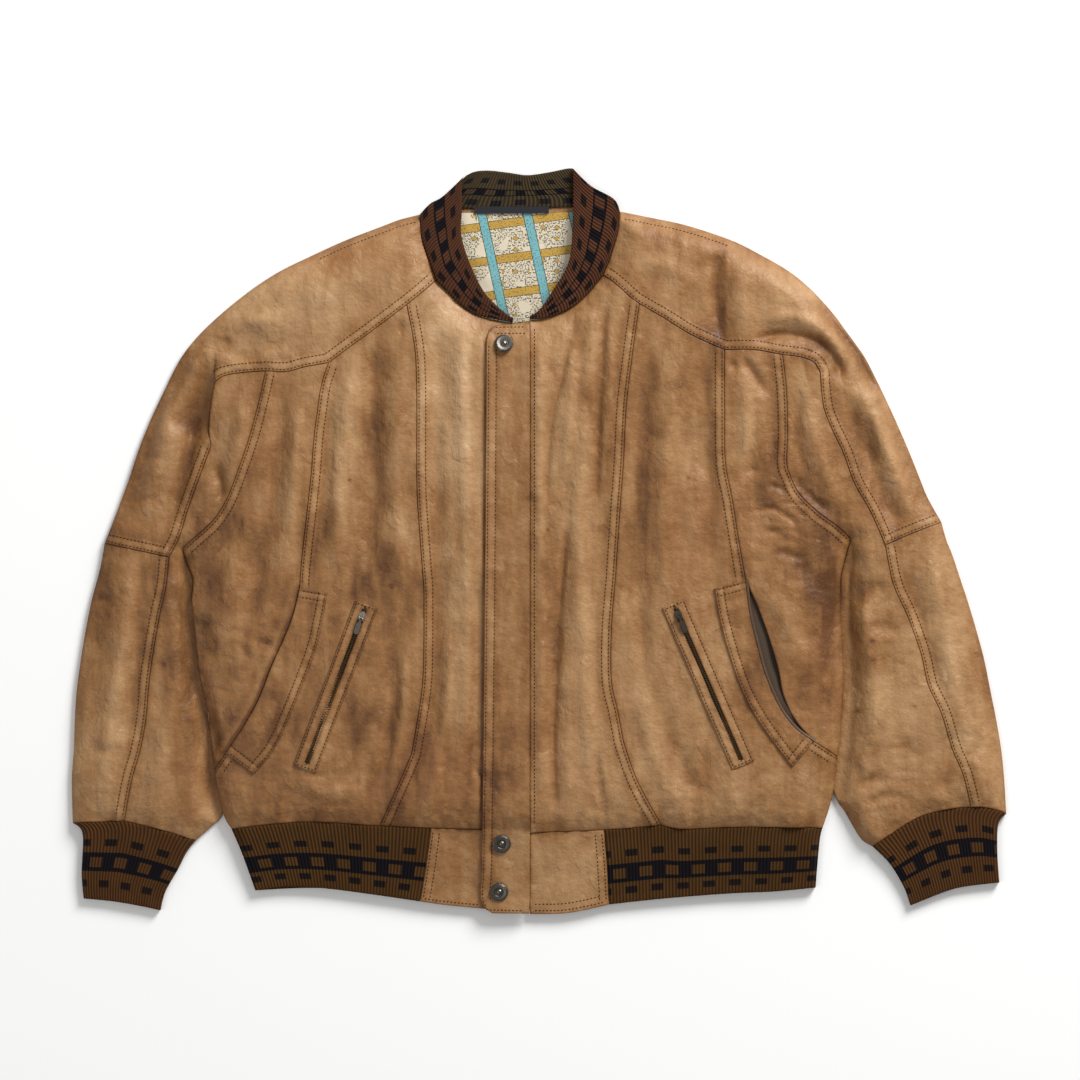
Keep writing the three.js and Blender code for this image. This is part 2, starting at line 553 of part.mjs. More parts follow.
sheet('right_sleeve_lower', tan, {
  top: L.elbowR, bottom: L.cuffSeamR, left: L.lowerR, right: L.sleeveLowR,
}, outZ, onSleeve)
const yokeL = sheet('left_sleeve_top', tan, {
  top: back(L.neckL), bottom: L.elbowL,
  left: join(L.yokeAL, L.yokeBL, L.yokeCL, L.yokeDL, L.sleeveL), right: L.shoulderL,
}, outZ, onSleeve)
sheet('left_sleeve_under', tan, {
  top: L.yokeDL, bottom: L.cuffSeamInL,
  left: join(L.armholeL, L.pitL, L.innerL), right: join(L.sleeveL, L.sleeveLowL),
}, lowZ, onSleeve)
sheet('left_sleeve_lower', tan, {
  top: L.elbowL, bottom: L.cuffSeamL, left: L.sleeveLowL, right: L.lowerL,
}, outZ, onSleeve)

// Knitted hem and cuffs, and the leather tabs of the hem
const between = (a, b, n) => steps([a, b], n)
const hemZ = (x, y) => {
  const [d] = near(hemLine, x, y)
  const [dR] = near(ribEndR, x, y), [dL] = near(ribEndL, x, y)
  const z = 14.5 - 6.5 * clamp(d / 62)
  return lower(z, KNIT + 3.6 + 10 * roll(Math.min(dR, dL) / 22), 2)
}
const ribEndR = steps([[231, 829], [242, 855], [255, 891]], 4)
const ribEndL = steps([[823, 828], [820, 842], [816, 888]], 4)
const tabEndR = steps([[431, 828], [426, 865], [420, 902]], 4)
const tabEndL = steps([[604, 830], [607, 865], [609, 905]], 4)
const onHem = wallBelow((x, y) => lift(x, y) + KNIT + 0.5, KNIT)
sheet('right_hem_rib', knit, {
  top: join(L.hemSideR, L.hemRibR), left: ribEndR, right: tabEndR,
  bottom: steps([[255, 891], [287, 887], [326, 889], [380, 896], [420, 902]], 8),
}, hemZ, onHem)
sheet('left_hem_rib', knit, {
  top: join(L.hemRibL, L.hemSideL), left: tabEndL, right: ribEndL,
  bottom: steps([[609, 905], [664, 899], [729, 894], [774, 892], [816, 888]], 8),
}, hemZ, onHem)
const tabR = sheet('right_hem_tab', tan, {
  top: L.hemTabR, left: tabEndR, right: between([511, 830], [512, 912], 4),
  bottom: steps([[420, 902], [450, 906], [482, 909], [512, 912]], 5),
}, hemZ, onHem)
const tabL = sheet('left_hem_tab', tan, {
  top: L.hemTabL, left: between([531, 833], [531, 914.5], 4), right: tabEndL,
  bottom: steps([[531, 914.5], [568, 913.5], [609, 905]], 5),
}, hemZ, onHem)
const hemEnd = steps([[255, 891], [326, 889], [420, 900], [539, 905], [664, 898], [774, 891], [816, 888]], 40)
sheet('hem_rib_back', knitDark, {
  top: backHem, bottom: atShares(hemEnd, columns), left: ribEndR, right: ribEndL,
}, (x, y) => lift(x, y) + KNIT, lift)

const cuff = (side, seam, end, left, right) => {
  const z = (x, y) => {
    const [d] = near(seam, x, y)
    const [a] = near(left, x, y), [b] = near(right, x, y)
    return lower(10.5 - 3.6 * clamp(d / 66), KNIT + 3.4 + 8 * roll(Math.min(a, b) / 16), 2)
  }
  const edges = { top: seam, bottom: end, left, right }
  sheet(side + '_cuff', knit, edges, z, wallBelow(flat(KNIT + 0.4), KNIT))
  sheet(side + '_cuff_back', knitDark, {
    top: few(seam, 2), bottom: few(end, 2), left: few(left, 3), right: few(right, 3),
  }, flat(KNIT), flat(0))
}
cuff('right', cuffLineR, steps([[83, 899], [113, 902], [142, 907], [160, 911]], 10),
  steps([[72, 823], [82, 834], [81, 874], [83, 899]], 5),
  steps([[195, 841], [186, 853], [178, 869], [165, 892], [160, 911]], 5))
cuff('left', cuffLineL, steps([[911, 906], [946, 892], [966, 887], [1000, 883]], 11),
  steps([[873, 847], [890, 864], [904, 887], [911, 906]], 5),
  steps([[1007, 814], [999, 824], [998, 853], [1000, 883]], 5))

// Collar: the back part lies on the floor, the two front parts over its ends
sheet('collar_back', knitDark, {
  top: steps([[466, 175], [475, 171], [489, 170], [508, 172], [527, 174.5], [547, 172], [567, 168],
    [573, 168]], 10),
  bottom: L.neckBack,
  left: back(steps([[420, 214], [430, 203], [443, 196], [466, 175]], 4)),
  right: steps([[573, 168], [591, 185.5], [614, 198.5], [620, 211]], 4),
}, flat(4), flat(0))
const collarZ = (x, y) => {
  const rise = smooth((place([0, 176])[1] - y) / 95)
  return lerp(9.4, 16.5, rise)
}
const onCollar = (x, y, z) => Math.max(4.6, z - COLLAR)
sheet('right_collar_front', knit, {
  top: back(steps([[464, 176], [443, 196], [430, 203.5], [420, 214]], 4)),
  left: join(L.neckR, L.neckFrontR), bottom: steps([[513, 323], [513, 318.5]], 4),
  right: steps([[464, 176], [462, 182], [462, 209], [461, 230], [464, 246], [472, 268], [483, 290],
    [496, 305], [513, 318.5]], 11),
}, collarZ, onCollar)
sheet('left_collar_front', knit, {
  top: steps([[573, 168], [591, 185.5], [614, 198.5], [620, 211]], 4),
  left: steps([[573, 168], [573, 206], [571, 249], [566, 268], [553, 290], [540, 309], [531, 316]], 10),
  bottom: steps([[531, 316], [531, 320]], 4),
  right: join(L.neckL, back(L.neckFrontL)),
}, collarZ, onCollar)
const lining = sheet('back_lining', printed, {
  top: between([442, 212.5], [600, 211.5], 4), bottom: between([455, 345], [590, 345], 4),
  left: between([442, 212.5], [455, 345], 4), right: between([600, 211.5], [590, 345], 4),
}, flat(LEATHER + 1.6), flat(LEATHER + 0.4))
sheet('neck_tape', black, {
  top: between([474, 206.5], [549, 206], 3), bottom: between([474, 213.5], [549, 213], 3),
  left: between([474, 206.5], [474, 213.5], 1), right: between([549, 206], [549, 213], 1),
}, flat(5.6), flat(4.5))

// Fly placket, over the right front and its hem tab
const fly = laid('fly_placket', tan, {
  top: steps([[499, 324.5], [530, 323.5]], 4), bottom: steps([[492, 913.5], [529, 914]], 4),
  left: join(steps([[499, 324.5], [490, 329], [486.5, 341]], 2), steps([[486.5, 341], [485, 560],
    [482, 835], [480, 892]], 26), steps([[480, 892], [482, 905], [492, 913.5]], 2)),
  right: join(steps([[530, 323.5], [530, 345]], 2), steps([[530, 345], [530, 560], [530, 900]], 26),
    steps([[530, 900], [529, 914]], 2)),
}, [centreR, tabR], 2.6, 0.6, (x, y) => y < place([0, 830])[1] ? hemZ(x, y) : frontZ(x, y))

// Pockets
const mouthTop = between([300, 588], [328, 593], 2)
laid('right_pocket_welt', tan, {
  top: mouthTop, bottom: between([226, 753], [254, 774], 2),
  left: steps([[300, 588], [294, 613], [287, 632], [272, 666], [255, 707], [226, 753]], 11),
  right: steps([[328, 593], [323, 620], [314, 656], [287, 724], [272, 753], [254, 774]], 11),
}, [midR], 2)
laid('left_pocket_welt', tan, {
  top: between([714, 588], [745, 580], 2), bottom: between([792, 767], [813, 741], 2),
  left: steps([[714, 588], [719, 617], [729, 654], [742, 691], [761, 725], [792, 767]], 11),
  right: steps([[745, 580], [749, 613], [758, 650], [765, 675], [779, 707], [795, 728], [813, 741]], 11),
}, [midL], 2)
// the pocket's bag hangs from the seam behind the welt and shows in the open mouth
const bagSeam = steps([[733, 588], [743, 640], [762, 700], [798, 742]], 8)
const bagZ = (x, y) => {
  const panel = faceZ([midL], x, y)
  const sewn = (panel > 0 ? panel : frontZ(x, y)) - LEATHER * 1.15 - 0.45
  return lerp(sewn, frontZ(x, y) - 9, smooth(near(bagSeam, x, y)[0] / 12))
}
sheet('left_pocket_bag', black, {
  top: between([733, 588], [756, 580], 3), bottom: between([798, 742], [822, 735], 3),
  left: bagSeam, right: steps([[756, 580], [778, 610], [794, 670], [803, 706], [822, 735]], 8),
}, bagZ, (x, y, z) => z - 1.2)

// a strip between two distances to the side of a straight line
const beside = (a, b, from, to, n) => {
  const [ax, ay] = place(a), [bx, by] = place(b)
  const [dx, dy] = unit(bx - ax, by - ay)
  const point = (t, w) => [lerp(ax, bx, t) + dy * w, lerp(ay, by, t) - dx * w]
  const row = w => Array.from({ length: n + 1 }, (_, i) => point(i / n, w))
  return {
    left: row(Math.max(from, to)), right: row(Math.min(from, to)),
    top: [point(0, Math.max(from, to)), point(0, Math.min(from, to))],
    bottom: [point(1, Math.max(from, to)), point(1, Math.min(from, to))],
  }
}
const turned = (profile, n = 16) => {
  const shape = new THREE.LatheGeometry(profile.map(p => new THREE.Vector2(...p)), n)
  shape.rotateX(Math.PI / 2)
  return clean(shape)
}
function clean(shape) {
  shape.deleteAttribute('normal')
  shape.deleteAttribute('uv')
  const merged = mergeVertices(shape, 1e-4)
  const index = merged.index.array, kept = []
  for (let k = 0; k < index.length; k += 3) {
    const [a, b, c] = [index[k], index[k + 1], index[k + 2]]
    if (a !== b && b !== c && c !== a) kept.push(a, b, c)
  }
  merged.setIndex(kept)
  return merged
}
const toSolid = shape => {
  const g = clean(shape)
  return new wasm.Manifold(new wasm.Mesh({
    numProp: 3, vertProperties: new Float32Array(g.attributes.position.array),
    triVerts: new Uint32Array(g.index.array),
  }))
}
const toShape = body => {
  const mesh = body.getMesh(), shape = new THREE.BufferGeometry()
  shape.setAttribute('position', new THREE.Float32BufferAttribute(mesh.vertProperties, 3))
  shape.setIndex(Array.from(mesh.triVerts))
  return shape
}
const box = (x0, x1, y0, y1, z0, z1) => new THREE.BoxGeometry(x1 - x0, y1 - y0, z1 - z0)
  .translate((x0 + x1) / 2, (y0 + y1) / 2, (z0 + z1) / 2)
const rod = (radius, length, n = 20) => new THREE.CylinderGeometry(radius, radius, length, n)

// Zip pockets: two welts, the closed chain between them, slider and pull tab
const pin = { along: 2.0, up: 2.0, radius: 0.6 }
function zip(side, a, b, panel, sliderAt) {
  const lane = (name, look, from, to, n, thick) =>
    laid(name, look, beside(a, b, from, to, n), panel, thick)
  lane(side + '_zip_welt_outer', tan, side === 'right' ? 2.7 : -11.3, side === 'right' ? 11.3 : -2.7, 9, 1.9)
  lane(side + '_zip_welt_inner', tan, side === 'right' ? -11.3 : 2.7, side === 'right' ? -2.7 : 11.3, 9, 1.9)
  const chain = lane(side + '_zip_chain', brass, -2.3, 2.3, 9, 1.7)
  const [ax, ay] = place(a), [bx, by] = place(b)
  const [dx, dy] = unit(bx - ax, by - ay)
  const at = s => [ax + dx * s, ay + dy * s]
  const rise = s => faceZ([chain], ...at(s))
  const s0 = sliderAt
  const tilt = Math.atan2(rise(s0 + 16) - rise(s0 - 4), 20)
  const turn = Math.atan2(dy, dx)
  const hub = new THREE.Group()
  hub.position.set(...at(s0), Math.max(rise(s0 - 4.5), rise(s0), rise(s0 + 4.5)) + 0.35)
  hub.rotation.set(0, -tilt, turn, 'ZYX')
  // slider: a rounded plate, two cheeks and the pin between them
  const plate = new THREE.Shape()
  plate.absellipse(0, 0, 4.7, 3.1, 0, Math.PI * 2)
  const body = toSolid(new THREE.ExtrudeGeometry(plate, { depth: 1.5, bevelEnabled: false, curveSegments: 10 }))
    .add(toSolid(box(pin.along - 1.5, pin.along + 1.5, 1.55, 2.4, 1, 1.5 + pin.up + 1.1)))
    .add(toSolid(box(pin.along - 1.5, pin.along + 1.5, -2.4, -1.55, 1, 1.5 + pin.up + 1.1)))
    .add(toSolid(rod(pin.radius, 4, 16).translate(pin.along, 0, 1.5 + pin.up)))
  const slider = new THREE.Mesh(toShape(body), new THREE.MeshStandardMaterial(gunmetal))
  slider.name = side + '_zip_slider'
  // pull tab: an eye on the pin, a neck and a plate, resting on the chain
  const outline = new THREE.Shape([[1.0, -1.15], [4.2, -1.15], [5.4, -2.3], [PULL - 1.4, -2.3],
    [PULL, -1.2], [PULL, 1.2], [PULL - 1.4, 2.3], [5.4, 2.3], [4.2, 1.15], [1.0, 1.15]]
    .map(p => new THREE.Vector2(...p)))
  const tab = toSolid(rod(1.65, 2.3, 20))
    .add(toSolid(new THREE.ExtrudeGeometry(outline, { depth: 1.1, bevelEnabled: false }).translate(0, 0, -0.55)))
    .subtract(toSolid(rod(0.95, 6, 20)))
  const pull = new THREE.Mesh(toShape(tab), new THREE.MeshStandardMaterial(gunmetal))
  pull.name = side + '_zip_pull'
  pull.position.set(pin.along, 0, 1.5 + pin.up)
  pull.rotation.y = 0.14
  hub.add(slider, pull)
  jacket.add(hub)
}
zip('right', [367, 604], [305, 769], [midR], 12)
zip('left', [673, 603], [743, 765], [midL], 12)

// Snaps: a cap with a raised ring and a ball in its middle, resting on the placket
function snap(name, point) {
  const [x, y] = place(point), r = SNAP / 2
  const high = (a, b) => faceZ([fly], a, b)
  const slopeY = (high(x, y + 8) - high(x, y - 8)) / 16, slopeX = (high(x + 7, y) - high(x - 7, y)) / 14
  const shape = turned([[0, 0], [r - 0.9, 0], [r, 0.7], [r - 0.2, 1.3], [r - 1.8, 2.1], [4.4, 1.9],
    [3.6, 1.2], [3.0, 1.2], [2.7, 1.9], [1.6, 2.7], [0, 3.0]])
  const mesh = new THREE.Mesh(shape, new THREE.MeshStandardMaterial(gunmetal))
  mesh.name = name
  const up = new THREE.Vector3(-slopeX, -slopeY, 1).normalize()
  mesh.quaternion.setFromUnitVectors(new THREE.Vector3(0, 0, 1), up)
  let clear = 0
  for (let k = 0; k < 24; k++) {
    for (const q of [0, 3, 6, r]) {
      const a = q * Math.cos(k * Math.PI / 12), b = q * Math.sin(k * Math.PI / 12)
      clear = Math.max(clear, high(x + a, y + b) - high(x, y) - slopeX * a - slopeY * b)
    }
  }
  mesh.position.set(x, y, high(x, y) + clear + 0.15)
  jacket.add(mesh)
}
snap('snap_top', [504, 344])
snap('snap_hem_upper', [501.6, 843.6])
snap('snap_hem_lower', [499, 892])

export default jacket
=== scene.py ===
# Worn leather blouson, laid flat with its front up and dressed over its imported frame.
# The cloth is worked out in millimetres. Lines are points (across, down) of the layout grid of the CAD.
import math
import bpy
import numpy as np
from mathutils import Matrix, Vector


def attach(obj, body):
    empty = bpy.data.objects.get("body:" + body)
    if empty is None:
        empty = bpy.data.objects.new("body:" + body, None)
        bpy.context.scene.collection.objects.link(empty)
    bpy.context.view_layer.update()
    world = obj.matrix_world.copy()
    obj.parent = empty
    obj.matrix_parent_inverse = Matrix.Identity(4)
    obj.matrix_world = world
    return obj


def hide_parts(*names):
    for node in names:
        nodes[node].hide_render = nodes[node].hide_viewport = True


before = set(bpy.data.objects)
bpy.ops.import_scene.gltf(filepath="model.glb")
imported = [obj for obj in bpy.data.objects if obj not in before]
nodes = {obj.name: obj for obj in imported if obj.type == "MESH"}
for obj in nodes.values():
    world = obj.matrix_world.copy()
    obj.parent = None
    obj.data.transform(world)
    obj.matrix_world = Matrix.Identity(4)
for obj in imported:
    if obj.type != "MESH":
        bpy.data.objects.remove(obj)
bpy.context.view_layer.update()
mm = 0.001

layout = {"step": 0.94, "middle": (539.097, 541.267)}   # mm in a grid step, grid point at the origin
body = {"bodyTop": 25, "sleeveTop": 17, "neck": 13, "hem": 14.5, "cuff": 10.5, "collarLow": 9.4,
        "collarHigh": 16.5, "rim": 4.6, "lift": 5.8, "leather": 2.0, "knit": 3.0}   # mm: heights, thicknesses
rounding = {"edge": 34, "side": 32, "neck": 45, "hem": 45, "sleeve": 30, "under": 26, "cuff": 40}   # mm wide
weave = {"pitch": 2.3, "backPitch": 4.5, "knitBackPitch": 3.2, "edge": (0, 0.3, 0.8, 1.5, 2.6),
         "band": (0, 0.3, 0.8, 1.3, 2.0, 3.2, 5.2, 7.2, 8.1, 8.9, 9.8, 11.4), "back": (0, 0.4, 1.1, 2.2),
         "cloth": (0, 0.4, 1.2), "knitSide": (0, 0.5, 1.2), "knitEnd": (0, 0.5, 1.3)}   # mm, mm from a seam

# Each name is followed by its points; a slash starts the next part of a line. R is the wearer's right
lineTable = """
shoulderR 420 214 400 219 384 225 345 240 312 255 281 270 257 285 237 300 219 315 203 330 192 342
upperR 192 342 179 360 164 390 150 420 138 450 128 480 117 510 104 543
lowerR 104 543 99 570 91 600 85 630 80 660 76 690 74 720 73 750 71 780 72 823
shoulderL 620 211 650 217 687 225 732 240 762 255 788 270 807 285 822 300 835 315 846 330 857 345 867 360 882
390 896 420 909 450 921 480 927 495 935 510 942 522
lowerL 942 522 947 540 953 555 963 585 968 600 977 630 985 660 991 690 997 720 1002 750 1005 780 1007 814
neckR 420 214 422 239 432 268 436 280
neckFrontR 436 280 446 290 462 306 480 316 513 323
neckL 620 211 618 230 612 252 603 275
neckFrontL 529.6 320 553 316 575 305 591 290 603 275
neckBack 420 214 440 210 462 208 491 210 527 208 569 207 600 208 620 211
yokeAR 436 280 424 291 407 305
yokeBR 407 305 375 329 349 348 329 363
yokeCR 329 363 306 367 286 372 266 371
yokeDR 266 371 241 373 224 376 215 382
yokeAL 603 275 612 281 631 298 639 304
yokeBL 639 304 665 319 691 335 724 350
yokeCL 724 350 754 350 782 355
yokeDL 782 355 799 357 813 362 820 372
foldTop 192 342 215 349
foldA 215 349 216 365 215 382
foldB 215 382 211 405 209 430 211 446
sleeveR 211 446 198 481 187 512 179 538 169 557
sleeveLowR 169 557 166 587 159 619 150 674 146 718 140 751 132 779 124 821
sleeveL 820 372 821 390 824 410 832 430 843 453 854 483 870 511 885 545
sleeveLowL 885 545 893 584 907 615 921 654 928 685 941 713 952 749 963 775 971 807
elbowR 104 543 136 550 169 557
elbowL 885 545 913 533 942 522
armholeR 266 371 259 402 250 436 240 466 227 499 213 521 193 539 182 549
armholeL 782 355 786 392 787 434 786 463 790 476 798 493 817 512 836 526 851 539
pitR 182 549 187 564 193 579 191 600
pitL 851 539 845 560 841 578 841 600
sideR 191 600 195 640 199 674 207 711 211 747 214 770
sideL 841 600 841 620 844 676 841 733 838 757
sideLowR 214 770 217 790 224 817 231 829
sideLowL 838 757 836 775 831 803 823 828
innerR 191 600 203 650 215 700 226 750 228 785 222 815 211 827 195 841
innerL 841 600 835 640 829 690 825 735 828 775 837 800 845 812 853 826 862 840 873 847
princessR 407 305 413 336 416 361 417 402 417 484 420 535 424 587 / 424 587 424 642 422 690 412 753 / 412 753
405 770 / 405 770 396 790 380 826
princessL 639 304 632 355 626 405 623 463 619 518 615 580 / 615 580 611 629 611 680 617 709 623 741 / 623 741
628 757 / 628 757 639 785 661 825
seamR 329 363 322 384 318 409 314 441 311 479 302 560 300 588
seamL 724 350 724 415 725 463 732 501 738 539 745 580
mouthR 300 588 294 613 287 632 272 666 255 707 226 753
mouthL 745 580 749 613 758 650 765 675 779 707 795 728 813 741
gapeL 745 580 757 606 768 636 778 670 783 695 795 720 813 741
bandR 226 753 214 770
bandL 813 741 838 757
frontR 513 323 513 587 / 513 587 512 753 / 512 753 512 770 / 512 770 511 830
frontL 529.6 320 529.6 580 / 529.6 580 529.6 741 / 529.6 741 529.6 757 / 529.6 757 529.6 833
hemSideR 231 829 275 824 318 822 380 826
hemRibR 380 826 431 828
hemTabR 431 828 511 830
hemTabL 529.6 833 604 830
hemRibL 604 830 630 828 661 825
hemSideL 661 825 685 829 738 827 823 828
cuffSeamR 72 823 124 821
cuffSeamInR 124 821 153 828 178 835 195 841
cuffSeamInL 873 847 890 835 918 818 945 810 971 807
cuffSeamL 971 807 988 808 1007 814
hemEndR 231 829 242 855 255 891
hemEndL 823 828 820 842 816 888
hemCutR 431 828 426 865 420 902
hemCutL 604 830 607 865 609 905
hemLowR 255 891 287 887 326 889 380 896 420 902
hemLowL 609 905 664 899 729 894 774 892 816 888
tabEdgeR 511 830 512 912
tabEdgeL 529.6 833 529.6 914.5
tabLowR 420 902 450 906 482 909 512 912
tabLowL 529.6 914.5 568 913.5 609 905
hemGap 511 830 529.6 833
hemUnder 255 891 326 889 420 900 539 905 664 898 774 891 816 888
cuffEndR 83 899 113 902 142 907 160 911
cuffOutR 72 823 82 834 81 874 83 899
cuffInR 195 841 186 853 178 869 165 892 160 911
cuffEndL 911 906 946 892 966 887 1000 883
cuffInL 873 847 890 864 904 887 911 906
cuffOutL 1007 814 999 824 998 853 1000 883
rearR 257 285 262 330 266 371
rearL 788 270 786 315 782 355
rearTopR 237 300 257 285
rearTopL 788 270 807 285
collarTopR 464 176 443 196 430 203.5 420 214
collarTopL 573 168 591 185.5 614 198.5 620 211
collarInR 464 176 462 182 462 209 461 230 464 246 472 268 483 290 496 305 513 318.5
collarInL 573 168 573 206 571 249 566 268 553 290 540 309 529.6 316
collarLowR 513 323 513 318.5
collarLowL 529.6 316 529.6 320
collarRim 466 175 475 171 489 170 508 172 527 174.5 547 172 567 168 573 168
collarEndR 466 175 443 196 430 203 420 214
liningTop 442 212.5 600 211.5
liningLow 455 345 590 345
liningR 442 212.5 455 345
liningL 600 211.5 590 345
tapeTop 474 206.5 549 206
tapeLow 474 213.5 549 213
tapeR 474 206.5 474 213.5
tapeL 549 206 549 213
flyTop 499 324.5 530 323.5
flyLow 492 913.5 529 914
flyCorner 499 324.5 490 329 486.5 341
flyEdge 486.5 341 485 560 482 835 480 892
flyFoot 480 892 482 905 492 913.5
flyTopRow 486 341 486 327 530 325
flyLowRow 482 909.5 529 911
frontRow 534.5 326 534.5 828
tabRowR 420 902 450 906 482 909
tabRowL 531 914.5 568 913.5 609 905
weltTopR 300 588 328 593
weltLowR 226 753 254 774
weltEdgeR 328 593 323 620 314 656 287 724 272 753 254 774
weltTopL 714 588 745 580
weltLowL 792 767 813 741
weltEdgeL 714 588 719 617 729 654 742 691 761 725 792 767
bagSeam 733 588 743 640 762 700 798 742
bagTop 733 588 756 580
bagLow 798 742 822 735
bagDeep 756 580 778 610 794 670 803 706 822 735
flyRight 530 323.5 530 345 / 530 345 530 560 530 900 / 530 900 529 914
"""


def readLines(text):
    table = {}
    for word in text.split():
        if word[0].isalpha():
            parts = table[word] = [[]]
        elif word == "/":
            parts.append([])
        else:
            parts[-1].append(float(word))
    return {name: [np.reshape(part, (-1, 2)) for part in parts] for name, parts in table.items()}


def readRows(text):   # rows of numbers between bars
    return [np.array(row.split(), float) for row in text.split("|")]


def place(points):   # layout grid to mm
    grid = np.array(points, float)
    return np.column_stack(((grid[:, 0] - layout["middle"][0]) * layout["step"],
                            (layout["middle"][1] - grid[:, 1]) * layout["step"]))


def placeDown(down):   # the height in mm of a row of the layout grid
    return place([(0, down)])[0, 1]


def straight(a, b, fine=8):
    return a + (b - a) * np.linspace(0, 1, 2 * fine)[:, None]


def curve(points, fine=8):   # a smooth line through the points
    p = place(points)
    if len(p) == 2:
        return straight(*p, fine)
    ends = np.vstack((p[:1], p, p[-1:]))
    t = np.arange(fine)[:, None] / fine
    out = []
    for a, b, c, d in zip(ends[:-3], ends[1:-2], ends[2:-1], ends[3:]):
        out.append(0.5 * (2 * b + (c - a) * t + (2 * a - 5 * b + 4 * c - d) * t ** 2
                          + (3 * b - a - 3 * c + d) * t ** 3))
    return np.vstack((*out, p[-1:]))


seams = readLines(lineTable)
for side, count in (("R", 7), ("L", 6)):   # the shoulder line of the body's back and of the sleeve's
    seams["shoulderNear" + side] = [seams["shoulder" + side][0][:count]]
    seams["shoulderFar" + side] = [seams["shoulder" + side][0][count:]]


def line(names):   # lines joined end to end; a minus sign turns one round
    out = []
    for name in names.split():
        part = np.vstack([curve(p)[min(k, 1):] for k, p in enumerate(seams[name.lstrip("-")])])
        part = part[::-1] if name[0] == "-" else part
        out.append(part[1:] if out else part)
    return np.vstack(out)


def runOf(points):
    return np.concatenate(([0], np.cumsum(np.hypot(*np.diff(points, axis=0).T))))


def along(points, share):
    run = runOf(points)
    want = np.asarray(share) * run[-1]
    return np.stack((np.interp(want, run, points[:, 0]), np.interp(want, run, points[:, 1])), -1)


def coarse(points, pitch=7):
    return along(points, np.linspace(0, 1, max(3, int(runOf(points)[-1] / pitch) + 1)))


def track(names, pitch=7):
    return coarse(line(names), pitch)


def near(points, x, y):   # distance from a line, place along it, its length
    best, at, run = np.full(x.shape, 1e9), np.zeros(x.shape), 0.0
    for (ax, ay), (bx, by) in zip(points[:-1], points[1:]):
        dx, dy = bx - ax, by - ay
        length = math.hypot(dx, dy)
        if length < 1e-6:
            continue
        t = np.clip(((x - ax) * dx + (y - ay) * dy) / length ** 2, 0, 1)
        d = np.hypot(x - ax - t * dx, y - ay - t * dy)
        closer = d < best
        best = np.where(closer, d, best)
        at = np.where(closer, run + t * length, at)
        run += length
    return best, at, run


def mix(a, b, t):
    return a + (b - a) * t


def smooth(t):
    t = np.clip(t, 0, 1)
    return t * t * (3 - 2 * t)


def roll(t):   # a rounded edge
    return 1 - (1 - np.clip(t, 0, 1)) ** 2.4


def arc(t):   # what a quarter round leaves below its top, from one at its foot to zero
    return 1 - np.sqrt(np.clip(1 - (1 - np.clip(t, 0, 1)) ** 2, 0, 1))


def dip(d, at, width):   # a soft bump or groove at a distance
    return np.exp(-((d - at) / width) ** 2)


def lower(a, b, k=4):   # the lower of two, blended
    h = np.clip(0.5 + 0.5 * (b - a) / k, 0, 1)
    return mix(b, a, h) - k * h * (1 - h)


def bumpy(x, y, size, seed):   # smooth seeded noise, from -1 to 1, of lumps that many mm across
    grid = np.random.default_rng(seed).random((256, 256)) * 2 - 1
    u, v = x / size + 90.5, y / size + 90.5
    i, j = np.floor(u).astype(int), np.floor(v).astype(int)
    s, t = smooth(u - i), smooth(v - j)
    corner = [[grid[(j + down) % 256, (i + right) % 256] for right in (0, 1)] for down in (0, 1)]
    return mix(mix(*corner[0], s), mix(*corner[1], s), t)


outer = {"R": track("shoulderR upperR lowerR"), "L": track("shoulderL lowerL")}
bodySide = {"R": track("pitR sideR sideLowR"), "L": track("pitL sideL sideLowL")}
inner = {"R": track("innerR"), "L": track("innerL")}
hidden = {"R": track("pitR innerR"), "L": track("pitL innerL")}
neckLine = track("neckR neckFrontR -neckFrontL -neckL")
hemLine = track("hemSideR hemRibR hemTabR hemTabL hemRibL hemSideL")
cuffLine = {"R": track("cuffSeamR cuffSeamInR"), "L": track("cuffSeamInL cuffSeamL")}
foldLine = track("foldA foldB")
foldOnly = track("foldTop", 3)   # where one panel only folds over: no seam shows

# Folds and creases: height (below zero is a trough) and width in mm, then the points of the line.
# Broad folds, which the solids have too
broadFolds = readRows("""
-4 16 688 424 694 452 703 484 | 2 18 660 400 664 440 672 480 | -3.5 13 727 246 716 269 716 305 724 341 | -3.5
14 813 294 834 323 857 351 868 373 874 394 | -3 12 754 334 781 330 807 334 825 344 834 359 843 380 | 3 15 752
470 770 500 800 540 | -3 12 735 440 752 480 766 530 | -2.4 15 204 330 222 336 245 345 262 350 | -3 12 218 462
222 480 224 500 | -2 12 560 560 556 640 554 740 556 813 | 1.5 30 480 400 470 500 455 600 | -1.5 26 350 420 352
500 345 560 | 2 24 240 560 250 620 246 680 | 2 22 760 560 800 600 815 680 | -2 13 90 640 120 660 150 655 | -2
12 88 700 118 722 140 720 | -2 12 1000 760 975 742 955 745 | -2 12 950 600 930 620 912 612
""")
